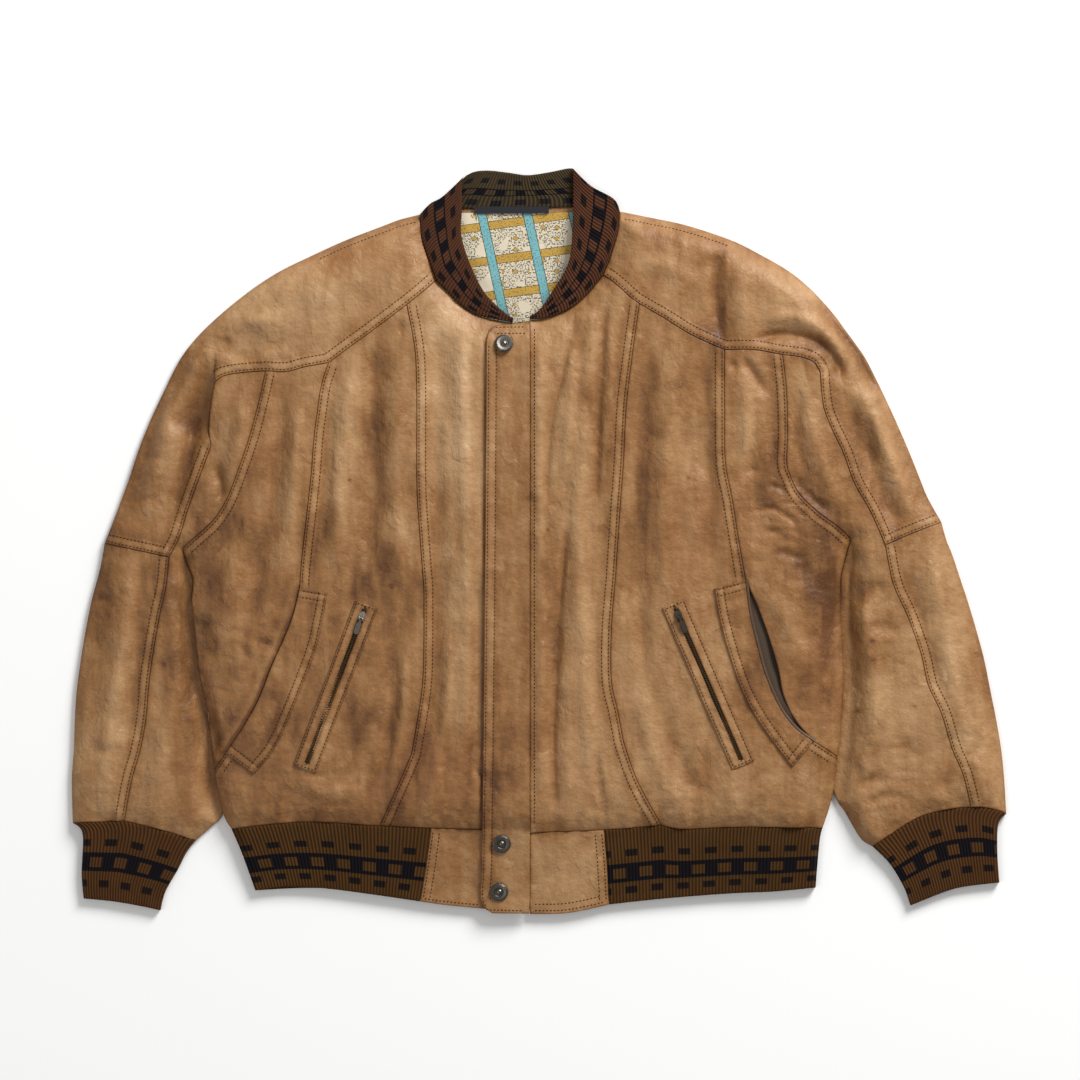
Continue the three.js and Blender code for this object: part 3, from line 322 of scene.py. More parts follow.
# Creases of the leather alone, placed from how it lies
creases = readRows("""
-1.2 3.4 606 304 602 361 598 422 597 480 596 504 | 1 6 588 300 590 350 584 400 | -1.1 3.4 578 312 559 386 551
422 547 473 546 504 | -1.3 3.2 567 524 563 565 560 604 557 653 555 695 553 737 555 789 556 813 | 1 7 572 560
569 640 566 720 568 800 | -1.4 4.5 594 747 602 802 604 825 | -0.9 3.5 646 426 652 436 660 444 | -1.5 4 727 246
718 262 714 285 717 312 724 345 | 1.2 7 712 262 705 290 710 318 | -2.2 4.5 752 340 781 335 807 338 827 349 838
366 843 384 | 1.6 7 760 322 790 318 815 326 836 344 848 366 | -2.2 6 813 294 834 323 857 351 868 373 874 394 |
-1.5 8 873 396 868 430 876 470 | -2.2 4 728 356 732 364 736 376 | -1.8 4.5 740 353 752 372 768 398 | -1.6 5
788 470 806 492 836 516 | -1 3 740 474 752 470 768 474 | -1.1 3 757 492 772 486 790 494 | -1.3 3.2 752 514 770
507 792 520 800 536 | -1.1 3 756 536 772 531 790 541 | -1 3 766 560 784 552 806 562 | -1.3 5 222 350 234 355
248 357 263 352 | -0.9 5 214 336 224 342 240 347 | -0.8 6 263 352 281 343 287 330 | -2.6 4.5 216 462 221 478
222 492 216 504 | 1.8 10 178 420 170 456 160 492 | -1.6 9 190 360 180 400 176 440 | -1.4 5 196 398 190 420 192
446 | -1 3.5 398 316 401 326 400 338 | -0.8 8 404 316 394 352 390 392 | -0.8 4 334 366 322 380 308 392 | -1.4
3.2 255 655 262 640 271 646 278 636 | -1.2 3.4 236 640 246 652 252 668 | -1 3 270 620 258 634 262 650 | -1.4 6
200 700 214 730 220 760 | -1.4 8 196 612 206 640 204 668 | -0.8 3.4 384 590 392 584 400 588 398 610 | -0.8 6
392 586 386 560 388 540 | -1 4 470 764 484 776 496 794 | 1 8 378 700 382 730 372 770 | -0.9 6 700 742 706 768
700 800 | -0.8 4 746 792 756 776 772 768 | -1.2 5 868 770 880 742 876 716 | -1.2 4 858 790 874 778 894 784 |
-1 4 866 808 882 796 906 798 | -1.2 4 850 760 860 774 858 792 | -1 5 900 736 912 752 930 758 | -1.4 5 946 768
942 784 938 800 | -1.2 5 978 742 968 762 972 790 | -1.2 7 852 606 868 588 892 590 | -1 6 862 632 880 626 904
634 | 1 9 146 700 158 740 152 790 | -1 6 84 742 104 752 126 748 | -0.8 4 82 604 100 598 118 602 | -0.8 4 112
612 120 594 134 598 | -0.7 3.5 140 450 152 458 172 458 | -0.7 3.5 126 496 140 500 164 496 | -0.6 4 636 236 664
240 692 252 | -0.5 5 684 236 700 258 690 280 | -0.8 4 540 360 552 372 556 392 | -0.5 5 508 336 516 372 512 420
| -0.7 7 452 332 446 372 450 430 | -0.8 5 490 740 470 752 462 780
""")
# Long soft runs of the cloth between its seams
softRuns = readRows("""
2.6 9 200 356 178 400 160 450 146 505 | -2.8 7 208 372 198 420 184 470 170 522 | -1.8 8 160 410 144 460 130
515 | -1.5 7 176 366 158 400 144 436 | 1.7 11 128 570 122 640 112 720 108 796 | -1.6 9 106 580 98 650 94 730
90 790 | -1.3 7 142 576 138 640 130 720 | 1.6 9 180 590 176 660 166 740 156 800 | 1.8 8 246 396 234 456 214
500 | -2 8 282 392 276 480 262 560 250 630 | 1.6 6 298 410 292 500 282 590 | 1.6 9 238 540 228 600 224 660 |
1.9 9 350 370 342 460 338 560 | -2.3 9 374 346 374 450 370 570 | 1.6 7 397 340 396 460 400 580 | -1.2 6 330
400 326 480 318 560 | -1.8 8 392 640 392 720 378 796 | 1.3 8 300 780 330 792 366 786 | 1.2 8 340 620 334 680
312 770 | 1.4 6 406 650 402 720 390 780 | -1.7 8 438 330 436 450 440 600 434 750 | 1.6 8 462 340 466 480 468
640 462 790 | 1.3 7 450 640 444 720 430 800 | -1.2 6 476 560 478 660 476 760 | 1.3 6 542 340 538 460 542 600
540 780 | 1.9 8 584 420 578 520 582 640 590 770 | 1.6 6 572 340 570 400 566 470 | 1.3 6 608 320 610 380 606
460 | -1.8 8 650 350 642 460 638 560 644 670 | 1.8 8 672 380 664 480 664 590 | -1.7 7 704 370 708 470 714 560
| 1.5 8 640 690 652 750 676 806 | -1.3 7 656 690 672 740 700 800 | 1.2 8 716 700 728 760 730 812 | 1.4 6 744
380 746 430 740 480 | -1.6 6 770 372 774 420 770 464 | 1.8 9 762 590 786 620 800 670 | -1.7 8 800 560 822 590
830 650 826 720 | 2.2 8 796 286 826 306 858 338 880 374 | -2.5 8 846 396 862 440 880 490 902 528 | 2.2 8 862
392 884 444 906 500 | -1.4 7 888 420 904 462 922 512 | 1.7 8 806 384 814 440 838 500 | -1.4 6 796 400 798 450
812 490 | 1.5 9 930 556 946 640 962 730 974 790 | -1.5 7 908 570 922 636 940 700 | 1.8 11 862 600 872 680 880
760 | -1.3 8 976 640 988 700 994 770 | 1.4 9 640 262 668 268 700 286 | 1.6 9 742 262 740 300 748 330 | 1.3 12
300 300 340 290 380 262 | 1.6 8 240 318 262 322 292 316 | 1.3 6 222 360 250 362 280 352 | -0.9 7 412 236 404
262 410 286
""")
backCreases = readRows("""
1.3 6 420 250 440 420 430 620 450 800 | 1.3 6 640 260 622 430 640 640 620 800 | 1.2 6 300 330 330 460 320 600
| 1.2 6 770 330 742 470 760 620 | 1.2 5 230 420 262 440 300 436 | 1.2 5 826 410 800 440 762 440 | 1.2 6 120
560 150 580 186 572 | 1.1 6 110 690 150 712 206 700 | 1.2 6 920 560 890 584 852 578 | 1.1 6 990 690 930 716
850 700 | 1 8 520 260 540 400 528 560
""")
# Leather that is crumpled all over: middle and half sizes in grid steps, strength
crumples = readRows("""
778 520 44 62 1 | 258 652 34 46 0.9 | 876 770 46 52 0.9 | 206 690 26 80 0.5 | 120 590 44 40 0.7 | 150 470 50
60 0.4 | 820 350 70 50 0.5 | 480 790 60 44 0.8 | 806 640 34 80 0.6 | 700 790 120 40 0.5 | 300 790 90 36 0.6 |
575 400 40 100 0.35 | 960 700 40 100 0.35 | 240 340 40 30 0.6 | 350 620 40 80 0.35
""")
gathers = {"hem": (1.7, 20, 10.0), "cuff": (2.0, 18, 9.0), "neck": (0.9, 12, 9.0)}   # mm high, long, apart
lumps = ((0.8, 36, 1.0, 1), (0.5, 14, 0.6, 2), (0.16, 6, 1.0, 3))   # mm high, mm wide, narrowing, seed
uneven = {"creases": 1.9, "soft": 1.75, "hang": 0.5, "crumple": 0.25, "fronts": 300,
          "neck": 120}   # times or mm high, and half widths in mm of where they act
spread = {"creases": (16, 0.05), "broad": (30, 0.35), "soft": (40, 0.35), "back": (22, 0.35)}   # mm, floor


def blotAt(x, y, middle, half):   # distance from a spot, one at its half sizes
    cx, cy = place([middle])[0]
    return ((x - cx) / half[0]) ** 2 + ((y - cy) / half[1]) ** 2


def crumple(x, y):
    total = np.zeros(x.shape)
    for row in crumples:
        total = np.maximum(total, row[4] * smooth(1.25 - blotAt(x, y, row[:2], row[2:4])))
    return total


def ridges(x, y, size, seed):   # sharp small creases between soft lumps
    bend = bumpy(x, y, size * 2.3, seed + 5) * size * 0.7
    return 1 - np.abs(bumpy(x + bend, y - bend * 0.6, size, seed)) * 2.2


def foldSum(items, x, y, key):   # a fold dies out at both ends, over some mm and from a floor
    calm, floor = spread[key]
    z = np.zeros(x.shape)
    for row in items:
        height, width = row[:2]
        path = coarse(curve(row[2:].reshape(-1, 2)), 5)
        low, high = path.min(0) - 3 * width, path.max(0) + 3 * width
        inside = (x > low[0]) & (x < high[0]) & (y > low[1]) & (y < high[1])
        if inside.any():
            d, at, run = near(path, x[inside], y[inside])
            z[inside] += height * dip(d, 0, width) * smooth(np.minimum(at, run - at) / calm + floor)
    return z


def gathered(x, y, path, key):   # small folds that stand on a seam and die out
    high, long, apart = gathers[key]
    d, at, _ = near(path, x, y)
    wave = bumpy(at, d * 0.35, apart, 31) + 0.5 * bumpy(at, d * 0.5, apart * 0.45, 32)
    return high * wave * np.exp(-(d / long) ** 1.3)


def detail(x, y):   # creases, crumples and the soft unevenness of old leather
    z = uneven["creases"] * foldSum(creases, x, y, "creases")
    z += uneven["soft"] * foldSum(softRuns, x, y, "soft")
    for high, size, narrow, seed in lumps:
        z += high * bumpy(x, y * narrow, size, seed)
    z += uneven["hang"] * bumpy(x, y * 0.2, 13, 4) * (np.abs(x) < uneven["fronts"])   # long runs of the fronts
    sharp = 1.5 * np.clip(ridges(x, y, 18, 7) - 0.45, 0, 1) + 0.9 * np.clip(ridges(x, y, 9.5, 8) - 0.4, 0, 1)
    z -= (uneven["crumple"] + crumple(x, y)) * sharp
    z += gathered(x, y, hemLine, "hem") + gathered(x, y, neckLine, "neck") * (np.abs(x) < uneven["neck"])
    for side in "RL":
        z += gathered(x, y, cuffLine[side], "cuff") * ((x < 0) == (side == "R"))
    return z


def bySide(lines, x, y):   # near() on the wearer's right or left line
    right, left = near(lines["R"], x, y), near(lines["L"], x, y)
    return [np.where(x < 0, a, b) for a, b in zip(right, left)]


def edgeHere(at, floor):   # height of the body's edge, lower away from the armpit
    return mix(8, floor, smooth(at / 30))


fold = {"up": 2.6, "upWide": 34, "down": 4.4, "downWide": 30}   # mm


def foldAt(x, y):   # the fold that drops from the yoke to the sleeve on the right shoulder
    d, at, run = near(foldLine, x, y)
    return d, smooth(at / 55) * smooth((run - at) / 40)


def frontBase(x, y):
    top = mix(body["bodyTop"], body["sleeveTop"], smooth((np.abs(x) - 215) / 130))
    dOut = bySide(outer, x, y)[0]
    dSide, at, _ = bySide(bodySide, x, y)
    dNeck, dHem = near(neckLine, x, y)[0], near(hemLine, x, y)[0]
    edge = edgeHere(at, mix(10.6, 7.4, smooth((at - 235) / 40)))
    z = body["rim"] + (top - body["rim"]) * roll(dOut / rounding["edge"])
    for low, d, key in ((edge, dSide, "side"), (body["neck"], dNeck, "neck"), (body["hem"], dHem, "hem")):
        z = lower(z, low + (top - low) * roll(d / rounding[key]))
    calm = smooth(np.minimum(np.minimum(dOut, dSide), np.minimum(dNeck, dHem)) / 30 + 0.1)
    return z + foldSum(broadFolds, x, y, "broad") * calm


def yokeBase(x, y):   # raised on the fold's front side
    d, on = foldAt(x, y)
    return frontBase(x, y) + np.where(x < 0, fold["up"] * on * dip(d, 0, fold["upWide"]), 0)


def upperBase(x, y):   # sunk behind it
    d, on = foldAt(x, y)
    return frontBase(x, y) - np.where(x < 0, fold["down"] * on * dip(d, 0, fold["downWide"]), 0)


def acrossAt(points, y):
    return np.interp(-y, -points[:, 1], points[:, 0])


def insideBody(x, y):
    flags = []
    for side, sign in (("R", 1), ("L", -1)):
        edge = bodySide[side]
        flags.append((y < edge[0, 1]) & (y > edge[-1, 1]) & (sign * x > sign * acrossAt(edge, y)))
    return np.where(x < 0, flags[0], flags[1])


def sleeveBase(x, y):   # low where the body lies on them
    dSide, at, _ = bySide(bodySide, x, y)
    low = edgeHere(at, 4.8)
    dOut, dCuff, dIn = (bySide(lines, x, y)[0] for lines in (outer, cuffLine, inner))
    rim, top, under = body["rim"], body["sleeveTop"], rounding["under"]
    z = rim + (top - rim) * roll(dOut / rounding["sleeve"])
    clear = np.where(insideBody(x, y), 0, np.maximum(0, dSide - 8 * smooth(at / 20)))
    z = lower(z, low + (top - low) * roll(clear / under), 2)
    z = np.where(at > 100, lower(z, rim + (top - rim) * roll(dIn / under), 2), z)
    z = lower(z, body["cuff"] + (top - body["cuff"]) * roll(dCuff / rounding["cuff"]), 2)
    calm = smooth(np.minimum(np.minimum(dOut, clear), dCuff) / 26)
    return z + foldSum(broadFolds, x, y, "broad") * calm


def joinAt(x, y):   # zero on the upper arm, one below the armpit
    down = np.where(x < 0, placeDown(549), placeDown(539))
    return smooth((down + 45 - y) / 60)


def settle(base):   # a height with its creases, calmer where the cloth thins out at an edge
    def high(x, y):
        z = base(x, y)
        quiet = smooth((z - body["rim"]) / 6 + 0.15)
        return np.maximum(z + detail(x, y) * quiet, body["rim"] - 0.2)
    return high


frontZ = settle(frontBase)
yokeZ = settle(yokeBase)
lowZ = settle(lambda x, y: mix(yokeBase(x, y), sleeveBase(x, y), joinAt(x, y)))
outZ = settle(lambda x, y: mix(upperBase(x, y), sleeveBase(x, y), joinAt(x, y)))


def liftZ(x, y):   # how high the back of the body lies, over a sleeve and beside it
    out = []
    for side, sign, bottom, cuff in (("R", 1, 800, 833), ("L", -1, 790, 822)):
        path = hidden[side]
        d, at, _ = near(path, x, y)
        edge = acrossAt(path, np.maximum(y, placeDown(bottom)))
        away = np.where(sign * x > sign * edge, d, 0)
        end = smooth((placeDown(cuff) - y) / -14)
        out.append(body["lift"] * smooth((at - 4) / 26) * end * (1 - smooth((away - 3) / 20)))
    return np.where(x < 0, out[0], out[1])


# Patina: dark, handled places and pale, rubbed ones; the dark patches along the body's side edges and on the
# sleeves beside them are painted shade where the body lies over the sleeves. Middle and half sizes in grid
# steps, amount, and how far the leather there leans to red
patches = readRows("""
330 300 110 60 -0.3 0.2 | 335 262 40 22 0.1 0.6 | 214 336 34 16 0.16 0 | 196 400 18 60 0.22 0 | 150 470 40 80
0.06 0.1 | 140 600 50 60 0.08 0 | 112 740 60 90 -0.1 -0.1 | 170 640 16 90 0.2 0 | 183 690 12 90 0.3 0 | 256
430 24 70 0.24 0.1 | 222 540 40 60 0.28 -0.1 | 286 470 14 80 -0.06 0.1 | 250 610 46 60 0.12 0.3 | 262 700 26
60 0.3 0 | 388 440 24 110 0.22 -0.1 | 392 590 34 50 0.3 0 | 340 430 26 70 -0.12 -0.1 | 344 560 30 60 0.36 0 |
334 680 50 70 0.26 0 | 240 790 50 40 0.12 0.2 | 340 800 80 30 0.2 0.2 | 400 760 40 70 0.24 0.1 | 452 400 30
110 -0.4 0 | 456 560 36 90 -0.02 0 | 470 660 34 60 -0.05 0 | 470 780 44 50 0.26 0.3 | 504 400 16 90 -0.04 0 |
500 600 18 90 0.14 0.2 | 500 720 18 60 0.1 0 | 504 880 30 40 0.02 0 | 460 870 50 40 0.04 0.1 | 598 430 20 110
0.14 0.1 | 552 400 20 90 -0.1 0 | 540 620 26 120 0.16 0 | 560 580 20 60 0.16 0 | 590 680 30 110 -0.06 0 | 596
790 60 40 -0.12 0 | 686 378 36 44 0.28 -0.1 | 650 440 18 90 0.12 0.1 | 672 540 50 60 0.16 0.2 | 664 680 40 80
-0.12 0 | 700 770 90 40 0.02 0 | 770 430 20 60 0.2 0 | 748 400 14 50 -0.08 0.1 | 776 520 44 60 0.16 0.35 | 800
640 40 80 0.16 0.1 | 752 660 16 60 0.3 0 | 828 560 24 60 0.3 0 | 820 740 30 40 0.16 0 | 722 300 12 46 0.2 -0.1
| 660 260 60 40 0.1 0.1 | 790 300 50 30 -0.14 0 | 852 420 18 56 0.02 0 | 812 350 50 16 0.18 0 | 820 450 30 60
0.2 0 | 910 480 24 60 0 0 | 856 620 20 60 0.18 -0.1 | 930 680 60 110 -0.2 -0.1 | 880 770 40 40 0.04 0 | 980
780 30 40 -0.04 0 | 570 870 50 40 -0.24 0 | 120 540 50 10 0.12 0 | 100 520 10 120 0.12 0 | 300 330 90 12 0.06
0 | 214 690 20 90 0.2 0 | 838 690 12 80 0.14 0 | 818 650 14 60 0.2 0 | 430 300 20 20 0.08 0
""")
# Stains: points, and sizes in mm
stains = readRows("""
872 641 2.2 | 873 660 1.6 | 858 711 3 | 914 706 1.8 | 590 350 1.6 | 688 478 1.8 | 548 530 1.4 | 350 480 1.8 |
392 586 2.4 | 164 664 1.8
""")
basePatina = 0.56


# Darkness of the leather: real patina and stains, with painted shade and painted highlight from the folds
def patinaAndShadeAt(x, y):
    dark, red = np.full(x.shape, basePatina), np.zeros(x.shape)
    streak = bumpy(x, y * 0.22, 9, 15) + 0.6 * bumpy(x, y * 0.3, 4.5, 16)
    for row in patches:
        wobble = 0.4 * bumpy(x, y, 30, int(row[0])) + 0.25 * bumpy(x, y * 0.5, 11, int(row[1]))
        soft = smooth((1.5 - np.sqrt(blotAt(x, y, row[:2], row[2:4])) - wobble) / 1.3)
        dark += 0.62 * row[4] * soft * (1 + 0.25 * streak)
        red += row[5] * soft
    for row in stains:
        dark += 0.4 * np.exp(-blotAt(x, y, row[:2], row[[2, 2]]))
    dark += 0.05 * streak + 0.07 * bumpy(x, y * 0.6, 50, 12) + 0.035 * bumpy(x, y, 9, 13)
    red += 0.25 * bumpy(x, y, 60, 14)
    hollow = -foldSum(creases, x, y, "creases") - 0.6 * foldSum(softRuns, x, y, "soft")
    dark += 0.10 * np.clip(hollow, -0.8, 1.8)   # painted shade in the creases and fold troughs, painted highlight on the backs of the folds
    return dark, red


def stations(count, sizes, first, last):   # shares of a row's width, closer together at its ends
    sizes = np.maximum(np.asarray(sizes, float), 0.5)[:, None]
    a, b = np.array(first), np.array(last)
    fit = np.minimum(1, 0.8 * sizes / (a[-1] + b[-1] + 4)) / sizes
    middle = np.linspace(0, 1, count + 2)[1:-1][None, :]
    low, high = a[-1] * fit, 1 - b[-1] * fit
    return np.hstack((a * fit, low + (high - low) * middle, (1 - b * fit)[:, ::-1]))


def patch(edges, pitch, ends, gaps=(0.15, 0.15, 0.15, 0.15)):   # a grid of points between four lines
    top, bottom, left, right = [line(part) for part in edges.split("/")] if isinstance(edges, str) else edges
    even = np.linspace(0, 1, 60)
    widths = np.hypot(*(along(right, even) - along(left, even)).T)
    heights = np.hypot(*(along(bottom, even) - along(top, even)).T)
    wide, long = ((runOf(a)[-1] + runOf(b)[-1]) / 2 for a, b in ((top, bottom), (left, right)))
    across, down = max(2, int(wide / pitch[0])), max(2, int(long / pitch[1]))
    paintedShadeRows = stations(down, [heights.mean()], *ends[2:])[0]
    columnsAt = stations(across, [widths.mean()], *ends[:2])[0]
    us = stations(across, np.interp(paintedShadeRows, even, widths), *ends[:2])
    vs = stations(down, np.interp(columnsAt, even, heights), *ends[2:]).T
    u, v = us[..., None], vs[..., None]
    grid = (1 - v) * along(top, us) + v * along(bottom, us) + (1 - u) * along(left, vs) + u * along(right, vs)
    grid -= (1 - v) * ((1 - u) * top[0] + u * top[-1]) + v * ((1 - u) * bottom[0] + u * bottom[-1])
    grid[0], grid[-1] = along(top, us[0]), along(bottom, us[-1])
    grid[:, 0], grid[:, -1] = along(left, vs[:, 0]), along(right, vs[:, -1])
    borders = (grid[0], grid[2]), (grid[-1], grid[-3]), (grid[:, 0], grid[:, 2]), (grid[:, -1], grid[:, -3])
    for (edge, inward), gap in zip(borders, gaps):   # the seam's gap
        step = inward - edge
        edge += gap * step / np.maximum(np.hypot(step[..., 0], step[..., 1]), 0.3)[..., None]
    even = np.linspace(0, 1, 90)
    back = even[::-1]
    ring = np.vstack((along(top, even), along(right, even), along(bottom, back), along(left, back)))
    return grid, us, vs, (wide, long), ring


def border(at):   # the edge of a grid, once round
    return np.concatenate((at[0, :-1], at[:-1, -1], at[-1, :0:-1], at[:0:-1, 0]))


def quads(at):
    return np.stack((at[:-1, :-1], at[1:, :-1], at[1:, 1:], at[:-1, 1:]), -1).reshape(-1, 4)


def wall(upper, below):   # faces between two loops
    return np.stack((upper, np.roll(upper, -1), np.roll(below, -1), below), -1)


def shell(name, grid, z, under, material, attributes=None, uv=None, closed=False):   # its edge is turned
    rows, columns = grid.shape[:2]
    points = np.column_stack((grid.reshape(-1, 2), z.ravel()))
    at = np.arange(rows * columns).reshape(rows, columns)
    ring, faces, count = border(at), quads(at), rows * columns
    nextIn = np.concatenate((at[1, :-1], at[:-1, -2], at[-2, :0:-1], at[:0:-1, 1]))
    inward = points[nextIn, :2] - points[ring, :2]
    inward /= np.maximum(np.hypot(*inward.T), 0.05)[:, None]
    loops, source = [ring], [np.arange(count)]
    rings = [points]
    low = under.ravel()[ring]
    edge = [] if closed else [(0.0, 0.0)]   # an open piece's wall has its own rim, so its face stays lit
    for share, inset in edge + [(0.5, -0.05), (1.0, 0.35)]:
        rings.append(np.column_stack((points[ring, :2] + inward * inset, mix(points[ring, 2], low, share))))
        loops.append(np.arange(len(ring)) + count)
        source.append(ring)
        count += len(ring)
    if not closed:
        loops = loops[1:]
    walls = [wall(*pair) for pair in zip(loops[:-1], loops[1:])]
    if closed:   # the other face of the cloth
        rings.append(np.column_stack((grid.reshape(-1, 2), under.ravel())))
        source.append(np.arange(rows * columns))
        walls += [quads(at[:, ::-1]) + count, wall(loops[-1], ring + count)]
    points, source, faces = np.vstack(rings), np.concatenate(source), np.vstack((faces, *walls))
    mesh = bpy.data.meshes.new(name)
    mesh.vertices.add(len(points))
    mesh.vertices.foreach_set("co", (points * mm).ravel())
    mesh.loops.add(faces.size)
    mesh.loops.foreach_set("vertex_index", faces.ravel().astype(np.int32))
    mesh.polygons.add(len(faces))
    mesh.polygons.foreach_set("loop_start", np.arange(len(faces), dtype=np.int32) * 4)
    mesh.polygons.foreach_set("use_smooth", np.ones(len(faces), bool))
    mesh.update(calc_edges=True)
    for key, values in (attributes or {}).items():
        data = values.ravel()[source].astype(np.float32)
        mesh.attributes.new(key, "FLOAT", "POINT").data.foreach_set("value", data)
    if uv is not None:
        flat = uv.reshape(-1, 2)[source][faces.ravel()]
        mesh.uv_layers.new(name="cloth").data.foreach_set("uv", flat.ravel())
    mesh.validate()
    return addPiece(name, mesh, material)


def addPiece(name, mesh, material):
    piece = bpy.data.objects.new(name, mesh)
    bpy.context.scene.collection.objects.link(piece)
    mesh.materials.append(material)
    return piece


def plainMesh(name, points, faces, material):   # points in mm
    mesh = bpy.data.meshes.new(name)
    mesh.from_pydata([tuple(value * mm for value in point) for point in points], [], faces)
    return addPiece(name, mesh, material)


def dress(name, grid, z, under, material, slot, rests, **more):   # a piece of cloth in its node's place
    piece = shell(name + "_cloth", grid, z, under, material, **more)
    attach(piece, "jacket")
    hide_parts(name)
    across = np.hypot(*np.moveaxis(np.diff(grid, axis=1), -1, 0)).sum(1)
    down = np.hypot(*np.moveaxis(np.diff(grid, axis=0), -1, 0)).sum(0)
    a, b, c, d = grid[:-1, :-1], grid[:-1, 1:], grid[1:, 1:], grid[1:, :-1]
    cross = (c - a)[..., 0] * (d - b)[..., 1] - (c - a)[..., 1] * (d - b)[..., 0]
    width, length = np.array((across.max(), down.max())) * mm * cut["longer"]
    if min(width, length) < cut["narrow"] * mm:   # a tape too narrow to be a sheet
        return
    area = abs(cross.sum()) / 2 * mm * mm * cut["larger"]
    area = min(max(area, 0.301 * width * length), width * length)


cut = {"longer": 1.03, "larger": 1.05, "narrow": 10}   # folds take up some of the flat size; mm
band = {"raised": 0.6, "wide": 10.4, "rows": (2.2, 8.4), "sunk": 0.32, "groove": 0.7, "pucker": 0.26}   # mm
thread = {"pitch": 3.5, "length": 2.2, "thick": 0.85, "above": 0.18}   # mm
stitches = []   # points, directions and heights of each sewn row
surfaces = {}   # finished height of each panel


def pressed(height, bands):   # the top-stitched bands beside a panel's seams
    paths = [track(names, 4) for names in bands]

    def high(x, y):
        z = height(x, y)
        for path in paths:
            d, at, _ = near(path, x, y)
            z = z + band["raised"] * smooth((band["wide"] - d) / 1.8)
            for row in band["rows"]:
                z = z - band["sunk"] * dip(d, row, band["groove"])
            z = z + band["pucker"] * bumpy(at, d * 0.4, 6, 21) * smooth((14 - d) / 8)
        return z
    return high


# Ends: banded or plain at the left, right, top and bottom. Gaps, in mm: top, bottom, left, right
def leatherPanel(name, edges, height, ends="eeee", bands=(), rests=("back_body",), pitch=weave["pitch"],
                 turned=1.1, paintedShadeRows=(), gaps=(0.15, 0.15, 0.15, 0.15)):
    kinds = [weave["band"] if end == "b" else weave["edge"] for end in ends]
    grid, _, _, _, ring = patch(edges, (pitch, pitch), kinds, gaps)
    x, y = grid[..., 0], grid[..., 1]
    surfaces[name] = pressed(height, bands)
    z = surfaces[name](x, y)
    d = near(coarse(ring, 3), x, y)[0]
    folded = smooth(near(foldOnly, x, y)[0] / 9) if name in ("right_yoke", "right_sleeve_top") else 1.0
    z = z - folded * turned * arc(d / turned)
    dark, red = patinaAndShadeAt(x, y)
    dark = dark + (0.2 * np.exp(-d / 1.1) + 0.05 * np.exp(-d / 12)) * folded   # painted shade along the seams and panel edges: a tight dark line and a soft fall
    for path, distances in [(track(names, 4), band["rows"]) for names in bands] + list(paintedShadeRows):
        away = near(path, x, y)[0]
        for row in distances:   # painted shade in the thread holes and the groove that they pull
            dark = dark + 0.13 * dip(away, row, 0.8)
        # painted highlight 5 mm from each line and painted shade 12 mm from it, as on a lit raised band
        dark = dark - 0.07 * dip(away, 5, 2.5) + 0.07 * dip(away, 12, 3)
    dress(name, grid, z, np.maximum(z - 2.3, 2.4), wornLeather, "leather", rests,
          attributes={"patina_and_shade": dark, "reddish": red})


def directions(points):
    tangent = np.gradient(points, axis=0)
    return tangent / np.hypot(*tangent.T)[:, None]


def sew(path, side, distances, height, trim=(1, 1)):   # stitch rows beside a line
    fine = coarse(path, 2)
    tangent = directions(fine)
    for distance in distances:
        row = fine + np.column_stack((-tangent[:, 1], tangent[:, 0])) * side * distance
        run = runOf(row)[-1]
        count = int((run - sum(trim)) / thread["pitch"])
        if count < 2:
            continue
        share = (trim[0] + (np.arange(count) + 0.5) * thread["pitch"]) / run
        points = along(row, share)
        ahead = along(row, np.minimum(share + 0.6 / run, 1)) - along(row, np.maximum(share - 0.6 / run, 0))
        ahead /= np.hypot(*ahead.T)[:, None]
        half = ahead * thread["length"] / 2
        stitches.append((points, ahead, height(*(points - half).T), height(*(points + half).T)))


def makeStitches():   # every stitch is a small round-ended run of thread that dips at both ends
    points, faces = [], []
    profile = ((-0.5, 0, -0.5), (-0.3, 0.5, 0), (0.3, 0.5, 0), (0.5, 0, -0.5))   # along, radius, sink
    for middles, ahead, low, high in stitches:
        for (x, y), (dx, dy), a, b in zip(middles, ahead, low, high):
            start = len(points)
            for s, radius, sink in profile:
                cx, cy = x + dx * s * thread["length"], y + dy * s * thread["length"]
                cz = (a + b) / 2 + (b - a) * s + thread["above"] + sink * thread["thick"]
                for side, up in ((-1, 0), (0, 1), (1, 0), (0, -1)) if radius else ((0, 0),):
                    w, rise = side * radius * thread["thick"], up * radius * thread["thick"]
                    points.append((cx - dy * w, cy + dx * w, cz + rise))
            for k in range(4):
                one, after = start + 1 + k, start + 1 + (k + 1) % 4
                faces += [(start, one, after), (one, one + 4, after + 4, after)]
                faces.append((one + 4, start + 9, after + 4))
    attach(plainMesh("topstitching", points, faces, sewingThread), "jacket")


def linear(colour):   # sRGB hex to linear
    parts = [int(colour[k:k + 2], 16) / 255 for k in (1, 3, 5)]
    return tuple(c / 12.92 if c <= 0.04045 else ((c + 0.055) / 1.055) ** 2.4 for c in parts) + (1.0,)


def add(tree, kind, inputs=(), **settings):   # one node with its settings; a node given as an input is linked
    node = tree.nodes.new("ShaderNode" + kind)
    for key, value in settings.items():
        setattr(node, key, value)
    for key, value in inputs.items() if isinstance(inputs, dict) else enumerate(inputs):
        if isinstance(value, bpy.types.Node):
            value = next(socket for socket in value.outputs if socket.enabled)
        if isinstance(value, bpy.types.NodeSocket):
            tree.links.new(value, node.inputs[key])
        else:
            node.inputs[key].default_value = value
    return node


def newTree(name):
    material = bpy.data.materials.new(name)
    material.use_nodes = True
    material.node_tree.nodes.clear()
    return material, material.node_tree


def finishTree(tree, inputs):   # the surface that the other nodes feed
    add(tree, "OutputMaterial", [add(tree, "BsdfPrincipled", inputs)])


